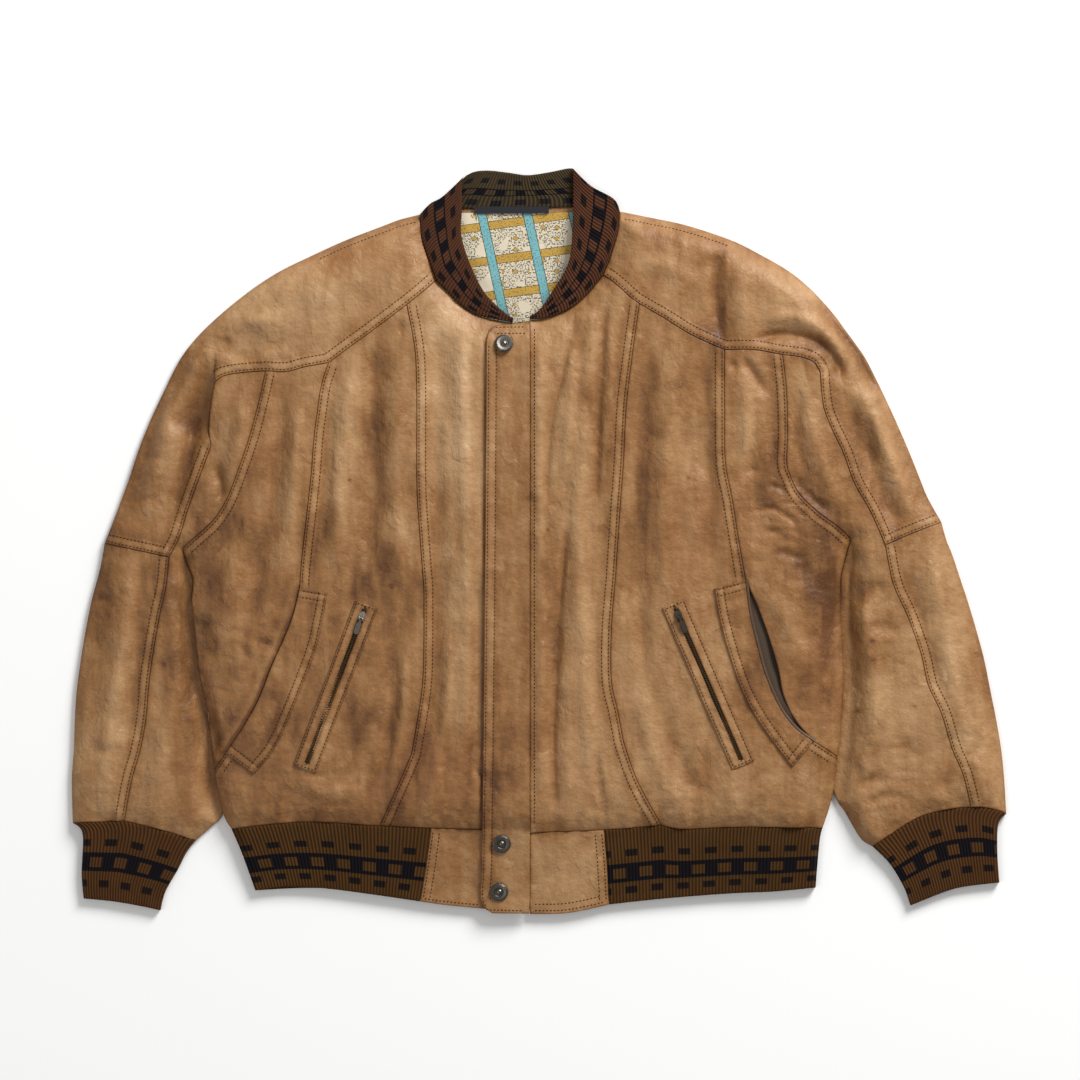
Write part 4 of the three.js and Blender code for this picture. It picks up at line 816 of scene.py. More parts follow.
leatherLook = {"pale": "#c09e78", "tan": "#a57f57", "brown": "#865d35", "dark": "#583619", "red": "#9c623c",
               "stops": {"pale": 0.12, "tan": 0.42, "brown": 0.72, "dark": 1.0}, "roughness": 0.48,
               "specular": 0.28, "grain": 1.8, "wrinkle": 6.5, "net": 15, "mottle": 26, "fine": 4.0,
               "streaks": 9, "area": 30,   # mm
               "tones": {"mottle": 0.34, "fine": 0.2, "streaks": 0.28}, "netTone": 0.07, "redShare": 0.28,
               "relief": {"pebble": -0.13, "wrinkle": 0.7, "net": -0.26, "streaks": 0.35},
               "depth": 1.9}   # mm


def makeLeather(name, look):
    # Sheep nappa, drum dyed tan and worn: soft satin face, fine pebble, darker where hands and dirt went; its
    # tone also carries painted shade and highlight
    material, tree = newTree(name)
    where = add(tree, "TexCoord").outputs["Object"]
    down = add(tree, "Mapping", {"Vector": where, "Scale": (1.0, 0.16, 1.0)}, vector_type="POINT")
    wide = add(tree, "Mapping", {"Vector": where, "Scale": (1.0, 0.62, 1.0)}, vector_type="POINT")
    fields = {}
    for key, vector, octaves, rough in (("mottle", where, 5.0, 0.62), ("fine", where, 4.0, 0.65),
                                        ("streaks", down, 3.0, 0.6), ("wrinkle", where, 3.0, 0.5),
                                        ("area", where, 2.0, 0.5)):
        fields[key] = add(tree, "TexNoise", {"Vector": vector, "Scale": 1 / (look[key] * mm),
                                             "Detail": octaves, "Roughness": rough})
    tone = add(tree, "Attribute", attribute_name="patina_and_shade").outputs["Fac"]
    for key, amount in look["tones"].items():
        away = add(tree, "Math", [fields[key], 0.5], operation="SUBTRACT")
        tone = add(tree, "Math", [away, amount, tone], operation="MULTIPLY_ADD")
    creased = add(tree, "TexNoise", {   # the sharp net of fine wrinkles of old leather
        "Vector": wide, "Scale": 1 / (look["net"] * mm), "Detail": 3.0, "Roughness": 0.62, "Lacunarity": 2.1,
        "Offset": 0.95, "Gain": 1.6}, noise_type="RIDGED_MULTIFRACTAL", normalize=True)
    ridge = add(tree, "MapRange", {"Value": creased, "From Min": 0.45, "From Max": 0.85})
    patchy = add(tree, "MapRange", {"Value": fields["area"], "From Min": 0.36, "From Max": 0.62,
                                    "To Min": 0.25})
    fields["net"] = add(tree, "Math", [ridge, patchy], operation="MULTIPLY")
    fields["pebble"] = add(tree, "TexVoronoi", {"Vector": where, "Scale": 1 / (look["grain"] * mm)},
                           feature="SMOOTH_F1")
    tone = add(tree, "Math", [fields["net"], look["netTone"], tone], operation="MULTIPLY_ADD")
    ramp = add(tree, "ValToRGB", [tone])
    stops = ramp.color_ramp.elements
    stops.new(look["stops"]["tan"])
    stops.new(look["stops"]["brown"])
    for stop, (key, at) in zip(stops, look["stops"].items()):
        stop.position, stop.color = at, linear(look[key])
    reddish = add(tree, "Attribute", attribute_name="reddish").outputs["Fac"]
    share = add(tree, "Math", [reddish, look["redShare"]], operation="MULTIPLY")
    relief = 0.0
    for key, amount in look["relief"].items():
        relief = add(tree, "Math", [fields[key], amount, relief], operation="MULTIPLY_ADD")
    finishTree(tree, {
        "Base Color": add(tree, "Mix", {0: share, 6: ramp, 7: linear(look["red"])}, data_type="RGBA"),
        "Specular IOR Level": look["specular"],
        "Roughness": add(tree, "MapRange", {"Value": fields["fine"], "To Min": look["roughness"] - 0.08,
                                            "To Max": look["roughness"] + 0.14}),
        "Normal": add(tree, "Bump", {"Height": relief, "Strength": 0.8, "Distance": look["depth"] * mm})})
    return material


knitLook = {"brown": "#412a12", "light": "#583a1a", "navy": "#0a0b12", "slate": "#0f0e11", "rib": 3.2,
            "dash": 25.0}   # mm
hemRows = {"first": 0.33, "bandFrom": 0.47, "bandTo": 0.72, "squares": 0.60, "second": 0.83,
           "dashHalf": 0.046, "squareHalf": 0.068}   # shares of the band's depth
cuffRows = {"first": 0.30, "bandFrom": 0.42, "bandTo": 0.65, "squares": 0.54, "second": 0.80,
            "dashHalf": 0.042, "squareHalf": 0.062}
collarRows = {"first": 0.14, "bandFrom": 0.33, "bandTo": 0.57, "squares": 0.455, "second": 0.76,
              "dashHalf": 0.062, "squareHalf": 0.085}


def makeKnit(name, look, rows):
    # Wool rib with a floated pattern: matt, soft, dark between the ribs
    material, tree = newTree(name)
    flat = add(tree, "UVMap", uv_map="cloth")
    u, v, _ = add(tree, "SeparateXYZ", [flat]).outputs   # mm along the band, share of its depth
    middle, half = (rows["bandFrom"] + rows["bandTo"]) / 2, (rows["bandTo"] - rows["bandFrom"]) / 2
    marks = {}
    for key, row, deep, duty, phase in (("first", rows["first"], rows["dashHalf"], 0.46, 0.0),
                                        ("second", rows["second"], rows["dashHalf"], 0.46, 0.06),
                                        ("square", rows["squares"], rows["squareHalf"], 0.5, 0.5),
                                        ("band", middle, half, 2.0, 0.0)):   # the band has no gaps of its own
        run = add(tree, "Math", [u, 1 / look["dash"], phase], operation="MULTIPLY_ADD")
        beat = add(tree, "Math", [run], operation="FRACT")
        inDash = add(tree, "Math", [beat, duty], operation="LESS_THAN")
        away = add(tree, "Math", [add(tree, "Math", [v, row], operation="SUBTRACT")], operation="ABSOLUTE")
        inRow = add(tree, "Math", [away, deep], operation="LESS_THAN")
        marks[key] = add(tree, "Math", [inDash, inRow], operation="MULTIPLY")
    marks["square"] = add(tree, "Math", [1.0, marks["square"]], operation="SUBTRACT")
    navy = add(tree, "Math", [marks["band"], marks["square"]], operation="MULTIPLY")
    navy = add(tree, "Math", [navy, 0.96], operation="MULTIPLY")
    dashes = add(tree, "Math", [marks["first"], marks["second"]], operation="MAXIMUM")
    dashes = add(tree, "Math", [dashes, 0.9], operation="MULTIPLY")
    where = add(tree, "TexCoord").outputs["Object"]
    cloud = add(tree, "TexNoise", {"Vector": where, "Scale": 1 / (22 * mm), "Detail": 3.0})
    yarn = add(tree, "TexNoise", {"Vector": where, "Scale": 1 / (1.1 * mm), "Detail": 2.0})
    colour = linear(look["brown"])
    for share, key in ((cloud, "light"), (dashes, "slate"), (navy, "navy")):
        colour = add(tree, "Mix", {0: share, 6: colour, 7: linear(look[key])}, data_type="RGBA")
    phase = add(tree, "Math", [u, 2 * math.pi / look["rib"]], operation="MULTIPLY")
    wave = add(tree, "Math", [phase], operation="COSINE")
    valley = add(tree, "Math", [wave, -0.5, 0.5], operation="MULTIPLY_ADD")
    shade = add(tree, "Math", [valley, -0.6, 1.0], operation="MULTIPLY_ADD")
    lively = add(tree, "Math", [yarn, 0.5, 0.75], operation="MULTIPLY_ADD")
    shade = add(tree, "Math", [shade, lively], operation="MULTIPLY")
    grey = add(tree, "CombineColor", [shade, shade, shade])
    sunk = add(tree, "Math", [valley, -1.0], operation="MULTIPLY")
    relief = add(tree, "Math", [yarn, 0.5, sunk], operation="MULTIPLY_ADD")
    finishTree(tree, {
        "Base Color": add(tree, "Mix", {0: 1.0, 6: colour, 7: grey}, data_type="RGBA", blend_type="MULTIPLY"),
        "Roughness": 0.92, "Specular IOR Level": 0.1, "Sheen Weight": 0.02,
        "Normal": add(tree, "Bump", {"Height": relief, "Strength": 0.5, "Distance": 0.6 * mm})})
    return material


liningLook = {"cream": "#cfc3aa", "turquoise": "#6fa5a8", "mustard": "#b48f3f", "ink": "#1c1b1e",
              "strip": 43.0, "bar": 33.0, "speck": 1.5, "lozenge": 13.0, "area": 19}   # mm


def makeLining(name, look):
    # Printed rayon twill: cool strips, mustard bars with lozenges and fine dark specks on cream
    material, tree = newTree(name)
    flat = add(tree, "UVMap", uv_map="cloth")
    x, y, _ = add(tree, "SeparateXYZ", [flat]).outputs
    fields = {}
    for key, over, other, slope, size, phase in (
            ("turquoise", x, y, 0.22, look["strip"], 0.18), ("mustard", y, x, -0.14, look["bar"], 0.3),
            ("across", x, y, 0.0, look["lozenge"], 0.2), ("down", y, x, 0.0, look["lozenge"] * 0.8, 0.1)):
        run = add(tree, "Math", [other, slope, over], operation="MULTIPLY_ADD")
        run = add(tree, "Math", [run, 1 / size, phase], operation="MULTIPLY_ADD")
        run = add(tree, "Math", [add(tree, "Math", [run], operation="FRACT"), 0.5], operation="SUBTRACT")
        fields[key] = add(tree, "Math", [run], operation="ABSOLUTE")
    lozenge = add(tree, "Math", [fields["across"], fields["down"]], operation="ADD")
    speckle = add(tree, "TexNoise", {"Vector": flat, "Scale": 1 / look["speck"], "Detail": 1.0})
    area = add(tree, "TexNoise", {"Vector": flat, "Scale": 1 / look["area"], "Detail": 1.0})
    colour = linear(look["cream"])
    for field, test, limit, floor, amount, key in (
            (speckle, "GREATER_THAN", 0.54, 0.4, 0.8, "ink"), (lozenge, "LESS_THAN", 0.25, 0.5, 0.85, "ink"),
            (lozenge, "LESS_THAN", 0.2, 0.5, 1.0, "mustard")):
        here = add(tree, "Math", [field, limit], operation=test)
        busy = add(tree, "Math", [area, floor], operation="GREATER_THAN")
        share = add(tree, "Math", [here, busy], operation="MULTIPLY")
        share = add(tree, "Math", [share, amount], operation="MULTIPLY")
        colour = add(tree, "Mix", {0: share, 6: colour, 7: linear(look[key])}, data_type="RGBA")
    ink = linear(look["ink"])
    dots = add(tree, "Math", [speckle, 0.6], operation="GREATER_THAN")
    dots = add(tree, "Math", [dots, 0.55], operation="MULTIPLY")
    for key, wide in (("mustard", 0.11), ("turquoise", 0.09)):   # inked edges, then the strip between them
        cloth = add(tree, "Mix", {0: dots, 6: linear(look[key]), 7: ink}, data_type="RGBA")
        for half, over in ((wide + 0.014, ink), (wide, cloth)):
            share = add(tree, "Math", [fields[key], half], operation="LESS_THAN")
            colour = add(tree, "Mix", {0: share, 6: colour, 7: over}, data_type="RGBA")
    finishTree(tree, {"Base Color": colour, "Roughness": 0.6, "Specular IOR Level": 0.3})
    return material


def makePlain(name, colours, roughness, size, metallic=0.0, specular=0.4, relief=0.0):
    # Cloudy between two tones, so that nothing looks like clean plastic: size and relief in mm
    material, tree = newTree(name)
    where = add(tree, "TexCoord").outputs["Object"]
    cloud = add(tree, "TexNoise", {"Vector": where, "Scale": 1 / (size * mm), "Detail": 3.0})
    tones = [linear(colour) for colour in colours.split()]
    inputs = {
        "Base Color": add(tree, "Mix", {0: cloud, 6: tones[0], 7: tones[-1]}, data_type="RGBA"),
        "Metallic": metallic,
        "Roughness": add(tree, "MapRange", {"Value": cloud, "To Min": roughness - 0.07,
                                            "To Max": roughness + 0.07})}
    if not metallic:
        inputs["Specular IOR Level"] = specular
    if relief:
        inputs["Normal"] = add(tree, "Bump", {"Height": cloud, "Strength": 0.5, "Distance": relief * mm})
    finishTree(tree, inputs)
    return material


wornLeather = makeLeather("wornSheepNappa", leatherLook)
ribKnit = makeKnit("woolRibKnit", knitLook, hemRows)
cuffKnit = makeKnit("woolCuffKnit", {**knitLook, "brown": "#452b14", "light": "#5a391c"}, cuffRows)
collarKnit = makeKnit("woolCollarKnit", {**knitLook, "brown": "#45281a", "light": "#5c3825", "dash": 21.0},
                      collarRows)
insideKnit = makeKnit("woolKnitInside", {**knitLook, "brown": "#3a2f1f", "light": "#4d3f2a", "dash": 18.5,
                                         "slate": "#16171a"}, collarRows)
backKnit = makeKnit("woolRibBack", knitLook, hemRows)
printedLining = makeLining("printedRayonLining", liningLook)
cottonTape = makePlain("blackCottonTape", "#15151a #24242a", 0.85, 0.8, relief=0.2)   # matt, woven
pocketCotton = makePlain("greyPocketCotton", "#524539 #3a3029", 0.9, 1.0, specular=0.1, relief=0.2)   # dull
edgePiping = makePlain("leatherEdgePiping", "#5b432c #3c2a1a", 0.5, 4.0, relief=0.3)   # dark from hands
sewingThread = makePlain("polyesterThread", "#3b2411 #25160a", 0.7, 0.5, specular=0.1)   # dark: painted shade of the holes that it sinks into
agedBrass = makePlain("agedBrassZip", "#6b573c #33281b", 0.4, 1.2, 1.0)   # dull, dark in its hollows
gunmetal = makePlain("gunmetalPlate", "#6d6962 #4a4640", 0.34, 2.0, 1.0)   # blackened nickel plate
paintedReflectionNickel = makePlain("paintedReflectionNickel", "#c9c4ba #8f897e", 0.25, 2.0, 1.0)   # a paler copy of the sliders' metal: painted reflection of the light on the right slider
print("materials made")

# Fronts, yokes and sleeves: edges are top / bottom / left / right
# The right front's shade rows along the fly's edge are the painted shadow that the raised placket casts
leatherPanel("right_front_center", "-yokeAR neckFrontR / hemRibR hemTabR / princessR / frontR", frontZ,
             "beee", ["princessR"], paintedShadeRows=[(track("flyEdge", 8), (0.4, 1.0, 1.6))])
leatherPanel("left_front_center", "neckFrontL yokeAL / hemTabL hemRibL / frontL / princessL", frontZ, "ebee",
             ["princessL"])
leatherPanel("right_front_mid", "-yokeBR / hemSideR / seamR mouthR bandR sideLowR / princessR", frontZ,
             "beee", ["seamR", "bandR"])
leatherPanel("left_front_mid", "yokeBL / hemSideL / princessL / seamL mouthL bandL sideLowL", frontZ, "ebee",
             ["seamL", "bandL"])
# The side panel's shade rows along the pocket mouth are the painted shadow under the welt's edge
leatherPanel("right_front_side", "-yokeCR / -bandR / armholeR pitR sideR / seamR mouthR", frontZ, "beee",
             ["armholeR"], paintedShadeRows=[(track("mouthR", 5), (0.4, 1.2, 2.0, 3.0))])
leatherPanel("left_front_side", "yokeCL / bandL / seamL gapeL / armholeL pitL sideL", frontZ, "ebee",
             ["armholeL"])
leatherPanel("right_yoke", "-shoulderR / -yokeDR -yokeCR -yokeBR -yokeAR / foldTop foldA / neckR", yokeZ,
             "eeeb", ["yokeAR yokeBR yokeCR yokeDR"], gaps=(0.15, 0.15, -0.4, 0.15))
leatherPanel("right_sleeve_top", "foldTop / elbowR / upperR / foldA foldB sleeveR", outZ, "ebeb",
             ["sleeveR", "elbowR"], ("right_sleeve_back",))
leatherPanel("right_sleeve_under", "-yokeDR / cuffSeamInR / foldB sleeveR sleeveLowR / armholeR pitR innerR",
             lowZ, rests=("right_sleeve_back",))
leatherPanel("right_sleeve_lower", "elbowR / cuffSeamR / lowerR / sleeveLowR", outZ, "ebee", ["sleeveLowR"],
             ("right_sleeve_back",))
leatherPanel("left_sleeve_top", "-neckL / elbowL / yokeAL yokeBL yokeCL yokeDL sleeveL / shoulderL", outZ,
             "beeb", ["yokeAL yokeBL yokeCL yokeDL", "sleeveL", "elbowL"], ("back_body", "left_sleeve_back"))
leatherPanel("left_sleeve_under", "yokeDL / cuffSeamInL / armholeL pitL innerL / sleeveL sleeveLowL", lowZ,
             rests=("left_sleeve_back",))
leatherPanel("left_sleeve_lower", "elbowL / cuffSeamL / sleeveLowL / lowerL", outZ, "beee", ["sleeveLowL"],
             ("left_sleeve_back",))
print("fronts and sleeves made")

# Knitted hem, cuffs and collar
rib = {"column": 0.8, "row": 2.6, "high": 0.5}   # mm
hemEnds = [track("hemEndR"), track("hemEndL")]


def hemZ(x, y):
    d = near(hemLine, x, y)[0]
    ends = [near(path, x, y)[0] for path in hemEnds]
    flat = body["knit"] + 3.6 + 10 * roll(np.minimum(*ends) / 22)
    return lower(body["hem"] - 6.5 * np.clip(d / 62, 0, 1), flat, 2) + 0.25 * bumpy(x, y, 30, 41)


def leatherHem(x, y):   # the tabs: creased where they were rolled up
    return hemZ(x, y) + 0.6 * bumpy(x * 0.7, y, 14, 42) + 0.3 * bumpy(x, y, 6, 43)


def knitPanel(name, edges, height, material, rests, flipRows=False, slot="knit", alongSide=False, offset=0.0):
    size = (rib["row"], rib["column"]) if alongSide else (rib["column"], rib["row"])
    kinds = [weave["knitSide"]] * 2 + [weave["knitEnd"]] * 2
    grid, us, vs, (wide, long), ring = patch(edges, size, kinds)
    x, y = grid[..., 0], grid[..., 1]
    share = us if alongSide else vs
    u = (vs * long if alongSide else us * wide) + offset   # mm along the band
    z = height(x, y) + rib["high"] * 0.5 * np.cos(2 * np.pi * u / knitLook["rib"])
    z = z - 1.2 * arc(near(coarse(ring, 3), x, y)[0] / 1.6)
    under = np.maximum(z - body["knit"], body["knit"] + 0.3)
    dress(name, grid, z, under, material, slot, rests, uv=np.stack((u, 1 - share if flipRows else share), -1))


knitPanel("right_hem_rib", "hemSideR hemRibR / hemLowR / hemEndR / hemCutR", hemZ, ribKnit, ("hem_rib_back",))
knitPanel("left_hem_rib", "hemRibL hemSideL / hemLowL / hemCutL / hemEndL", hemZ, ribKnit, ("hem_rib_back",),
          offset=7)
leatherPanel("right_hem_tab", "hemTabR / tabLowR / hemCutR / tabEdgeR", leatherHem, rests=("hem_rib_back",))
leatherPanel("left_hem_tab", "hemTabL / tabLowL / tabEdgeL / hemCutL", leatherHem, rests=("hem_rib_back",))


def backZ(x, y):   # shallow creases on the side that lies on the floor
    z = 0.5 * np.clip(bumpy(x, y, 46, 51) + bumpy(x, y * 0.5, 17, 52) - 0.1, 0, 2)
    return np.clip(z + foldSum(backCreases, x, y, "back"), 0, 1.5)


def onFloor(x, y):
    return 0 * x


def backPanel(name, edges, base, knitted=False):
    size = weave["knitBackPitch" if knitted else "backPitch"]
    grid, us, vs, _, ring = patch(edges, (size, size), [weave["back"]] * 4)
    x, y = grid[..., 0], grid[..., 1]
    d = near(coarse(ring, 4), x, y)[0]
    turned = 0.9 * arc(d / 1.1)
    low = base(x, y) + (0 if knitted else backZ(x, y) * smooth(d / 8)) + turned * 0.6
    high = base(x, y) + body["knit" if knitted else "leather"] - turned * 0.4
    dark, red = patinaAndShadeAt(x, y)
    length = runOf(line(edges.split("/")[0]))[-1]
    uv = np.stack((us * length, 0.02 + 0 * vs), -1)   # above the rows of the pattern
    dress(name, grid, high, low, backKnit if knitted else wornLeather, "knit" if knitted else "back_leather",
          ("floor",), attributes={"patina_and_shade": dark * 0.6 + 0.18, "reddish": red}, uv=uv if knitted else None,
          closed=True)


def cuffPair(side, edges):
    parts = edges.split("/")
    seam, one, two = track(parts[0]), track(parts[2]), track(parts[3])

    def cuffZ(x, y):
        d, a, b = (near(path, x, y)[0] for path in (seam, one, two))
        flat = body["knit"] + 3.4 + 8 * roll(np.minimum(a, b) / 16)
        return lower(body["cuff"] - 3.6 * np.clip(d / 66, 0, 1), flat, 2) + 0.3 * bumpy(x, y, 22, 44)
    knitPanel(side + "_cuff", edges, cuffZ, cuffKnit, (side + "_cuff_back",), offset=4)
    backPanel(side + "_cuff_back", edges, onFloor, True)


cuffPair("right", "cuffSeamR cuffSeamInR / cuffEndR / cuffOutR / cuffInR")
cuffPair("left", "cuffSeamInL cuffSeamL / cuffEndL / cuffInL / cuffOutL")
hemAll = "hemSideR hemRibR hemTabR hemGap hemTabL hemRibL hemSideL"
backPanel("hem_rib_back", hemAll + " / hemUnder / hemEndR / hemEndL", liftZ, True)
backPanel("back_body", "neckBack / " + hemAll + " / shoulderNearR rearR armholeR pitR sideR sideLowR"
          " / shoulderNearL rearL armholeL pitL sideL sideLowL", liftZ)
backPanel("right_sleeve_back", "rearTopR / cuffSeamR cuffSeamInR / shoulderFarR upperR lowerR"
          " / rearR armholeR pitR innerR", onFloor)
backPanel("left_sleeve_back", "rearTopL / cuffSeamInL cuffSeamL / rearL armholeL pitL innerL"
          " / shoulderFarL lowerL", onFloor)


def collarZ(x, y):   # folded double, rolled at its free edge
    z = mix(body["collarLow"], body["collarHigh"], smooth((placeDown(176) - y) / 95))
    return z + 0.3 * bumpy(x, y, 18, 45)


knitPanel("right_collar_front", "-collarTopR / collarLowR / neckR neckFrontR / collarInR", collarZ,
          collarKnit, ("collar_back",), alongSide=True)
knitPanel("left_collar_front", "collarTopL / collarLowL / collarInL / neckL -neckFrontL", collarZ, collarKnit,
          ("collar_back",), alongSide=True, flipRows=True, offset=5)
knitPanel("collar_back", "collarRim / neckBack / collarEndR / collarTopL",
          lambda x, y: 4.0 + 0.12 * bumpy(x, y, 20, 46), insideKnit, ("floor",), flipRows=True,
          slot="knit_inside", offset=6)
print("knits and backs made")


def clothPanel(name, edges, height, thick, material, slot, rests, pitch=3.0):
    grid = patch(edges, (pitch, pitch), [weave["cloth"]] * 4)[0]
    z = height(grid[..., 0], grid[..., 1])
    dress(name, grid, z, z - thick, material, slot, rests, uv=grid)


clothPanel("back_lining", "liningTop / liningLow / liningR / liningL",
           lambda x, y: 4.0 + 0.5 * bumpy(x, y * 0.6, 22, 61) + 0.25 * bumpy(x, y, 9, 62), 0.6, printedLining,
           "printed_lining", ("back_body",), 2.0)
clothPanel("neck_tape", "tapeTop / tapeLow / tapeR / tapeL", lambda x, y: 5.6 + 0 * x, 0.8, cottonTape,
           "black_tape", ("collar_back",), 2.0)

# Fly placket, laid over the right front and its hem tab
fly = {"rows": (2.3, 9.4), "above": 3.0, "sunk": 0.55, "groove": 0.75, "topRows": (2.0, 8.0)}   # mm
flyTrack = track("flyEdge", 8)


def flyZ(x, y):   # raised between its two rows, slightly puckered by them
    d, at, _ = near(flyTrack, x, y)
    onFront = frontBase(x, y) + detail(x, y) * 0.7
    z = mix(leatherHem(x, y), onFront, smooth((y - placeDown(830)) / 10 + 0.5)) + fly["above"]
    for row in fly["rows"]:
        z = z - fly["sunk"] * dip(d, row, fly["groove"])
    return z + 0.3 * bumpy(at, d * 0.5, 7, 63) + 0.35 * smooth((9.5 - d) / 2)


leatherPanel("fly_placket", "flyTop / flyLow / flyCorner flyEdge flyFoot / flyRight", flyZ, "beee",
             rests=("right_front_center", "right_hem_tab"), paintedShadeRows=[(flyTrack, fly["rows"])])

# Pockets: curved welts over the hand pockets, and the lining that shows in the open one
welt = {"rows": (2.2, 8.4), "above": 2.1}   # mm


def laidOn(paths, thick, row=2.0, second=None):   # a strip's face: over the panel, stitched near its edges
    def high(x, y):
        z = frontBase(x, y) + detail(x, y) * 0.6 + thick
        for path in paths:
            d, at, _ = near(path, x, y)
            z = z - 0.5 * dip(d, row, 0.7) + 0.2 * bumpy(at, d, 6, 64)
            if second:
                z = z - 0.45 * dip(d, second, 0.7)
        return z
    return high


for side, key, edges, ends in (("right", "R", "weltTopR / weltLowR / mouthR / weltEdgeR", "ebbb"),
                               ("left", "L", "weltTopL / weltLowL / weltEdgeL / mouthL", "bebb")):
    paths = [track(name + key, 5) for name in ("weltEdge", "weltLow", "weltTop")]
    leatherPanel(side + "_pocket_welt", edges, laidOn(paths, welt["above"], *welt["rows"]), ends,
                 rests=(side + "_front_mid",), paintedShadeRows=[(path, welt["rows"]) for path in paths])
bagTrack = track("bagSeam", 6)


def bagZ(x, y):   # sinks away from its seam into the pocket
    sunk = mix(1.8, 6.0, smooth((near(bagTrack, x, y)[0] - 14) / 15))
    return frontBase(x, y) - sunk + 0.9 * bumpy(x * 1.6, y * 0.5, 12, 65)


clothPanel("left_pocket_bag", "bagTop / bagLow / bagSeam / bagDeep", bagZ, 1.0, pocketCotton, "pocket_cloth",
           ("left_front_mid",))


def strap(name, path, half, height, rise, material, thick=1.2):   # a narrow rounded strip along a line
    fine = coarse(path, 2)
    tangent = directions(fine)
    across = np.column_stack((tangent[:, 1], -tangent[:, 0]))
    share = np.linspace(-1, 1, 9)
    grid = fine[:, None, :] + across[:, None, :] * (share * half)[None, :, None]
    x, y = grid[..., 0], grid[..., 1]
    z = height(x, y) + rise * np.sqrt(np.clip(1 - share ** 2, 0, 1))[None, :]
    dark, red = patinaAndShadeAt(x, y)
    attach(shell(name, grid, z, z - thick, material, attributes={"patina_and_shade": dark, "reddish": red}), "jacket")


strap("left_pocket_piping", line("mouthL") + (1.1, 0.2), 1.6,
      lambda x, y: frontBase(x, y) + detail(x, y) * 0.6 + 0.6, 1.6, edgePiping)

# Zip pockets: two welts, tape and teeth, with the slider and pull of the frame
zips = {"right": ((367, 604), (305, 769)), "left": ((673, 603), (743, 765)), "welt": (2.0, 11.3), "tape": 2.6,
        "bar": 6.2, "barHalf": 2.6, "toothPitch": 2.4, "tooth": (1.5, 3.0, 1.2), "ends": 3}   # points, then mm


def beside(side, away):   # a zip's line moved sideways, to its left when positive
    one, two = place(zips[side])
    dx, dy = (two - one) / np.hypot(*(two - one))
    return np.array([one + (dy * away, -dx * away), two + (dy * away, -dx * away)])


def between(one, two):   # the four edges of a strip between two straight lines
    left, right = sorted((one, two), key=lambda ends: ends[0][0])
    return straight(left[0], right[0]), straight(left[1], right[1]), straight(*left), straight(*right)


teeth, toothFaces = [], []
for side in ("right", "left"):
    outward = 1 if side == "left" else -1
    for part, sign in (("outer", outward), ("inner", -outward)):
        close, far = (beside(side, sign * away) for away in zips["welt"])
        outside = coarse(far, 5)
        leatherPanel(f"{side}_zip_welt_{part}", between(close, far), laidOn([outside], 2.0, 2.0),
                     rests=(side + "_front_mid",), pitch=1.5, turned=1.0, paintedShadeRows=[(outside, (2.0,))])
    clothPanel(side + "_zip_chain", between(*(beside(side, s * zips["tape"]) for s in (-1, 1))),
               lambda x, y: frontBase(x, y) + 0.9, 0.7, cottonTape, "zip_metal", (side + "_front_mid",), 1.6)
    one, two = place(zips[side])
    length = np.hypot(*(two - one))
    way = (two - one) / length
    aside = np.array((-way[1], way[0]))
    for end, at in (("top", zips["bar"] / 2), ("bottom", length - zips["bar"] / 2)):   # leather over the ends
        bar = np.array([one + way * at + aside * k for k in (-zips["barHalf"], 0, zips["barHalf"])])
        strap(f"{side}_zip_bar_{end}", bar, zips["bar"] / 2, laidOn([], 1.4), 0.6, wornLeather)
    wide, deep, tall = np.array(zips["tooth"]) / 2
    for k in range(int((length - 2 * zips["ends"]) / (zips["toothPitch"] / 2))):
        cx, cy = one + way * (zips["ends"] + k * zips["toothPitch"] / 2) + aside * (0.6 if k % 2 else -0.6)
        cz = float(frontBase(np.array([cx]), np.array([cy]))[0]) + 1.8
        start = len(teeth)
        for up, grow in ((-1, 1.0), (0.3, 1.0), (1, 0.62)):   # three square rings, the top one narrower
            for u, v in ((-1, -1), (1, -1), (1, 1), (-1, 1)):
                step = way * (u * wide * grow * 0.8) + aside * (v * deep * grow)
                teeth.append((cx + step[0], cy + step[1], cz + up * tall))
        for ring in (start, start + 4):
            for m in range(4):
                n = (m + 1) % 4
                toothFaces.append((ring + m, ring + n, ring + 4 + n, ring + 4 + m))
        toothFaces.append(tuple(start + 8 + m for m in range(4)))
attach(plainMesh("zip_teeth", teeth, toothFaces, agedBrass), "jacket")
print("placket and pockets made")

# Topstitching
for names, side, panel in (
        ("princessR", 1, "right_front_center"), ("princessL", -1, "left_front_center"),
        ("seamR", 1, "right_front_mid"), ("seamL", -1, "left_front_mid"),
        ("bandR", 1, "right_front_mid"), ("bandL", -1, "left_front_mid"),
        ("armholeR", 1, "right_front_side"), ("armholeL", -1, "left_front_side"),
        ("yokeAR yokeBR yokeCR yokeDR", -1, "right_yoke"),
        ("yokeAL yokeBL yokeCL yokeDL", 1, "left_sleeve_top"),
        ("sleeveR", -1, "right_sleeve_top"), ("sleeveL", 1, "left_sleeve_top"),
        ("sleeveLowR", -1, "right_sleeve_lower"), ("sleeveLowL", 1, "left_sleeve_lower"),
        ("elbowR", 1, "right_sleeve_top"), ("elbowL", 1, "left_sleeve_top")):
    sew(line(names), side, band["rows"], surfaces[panel], (2, 2))
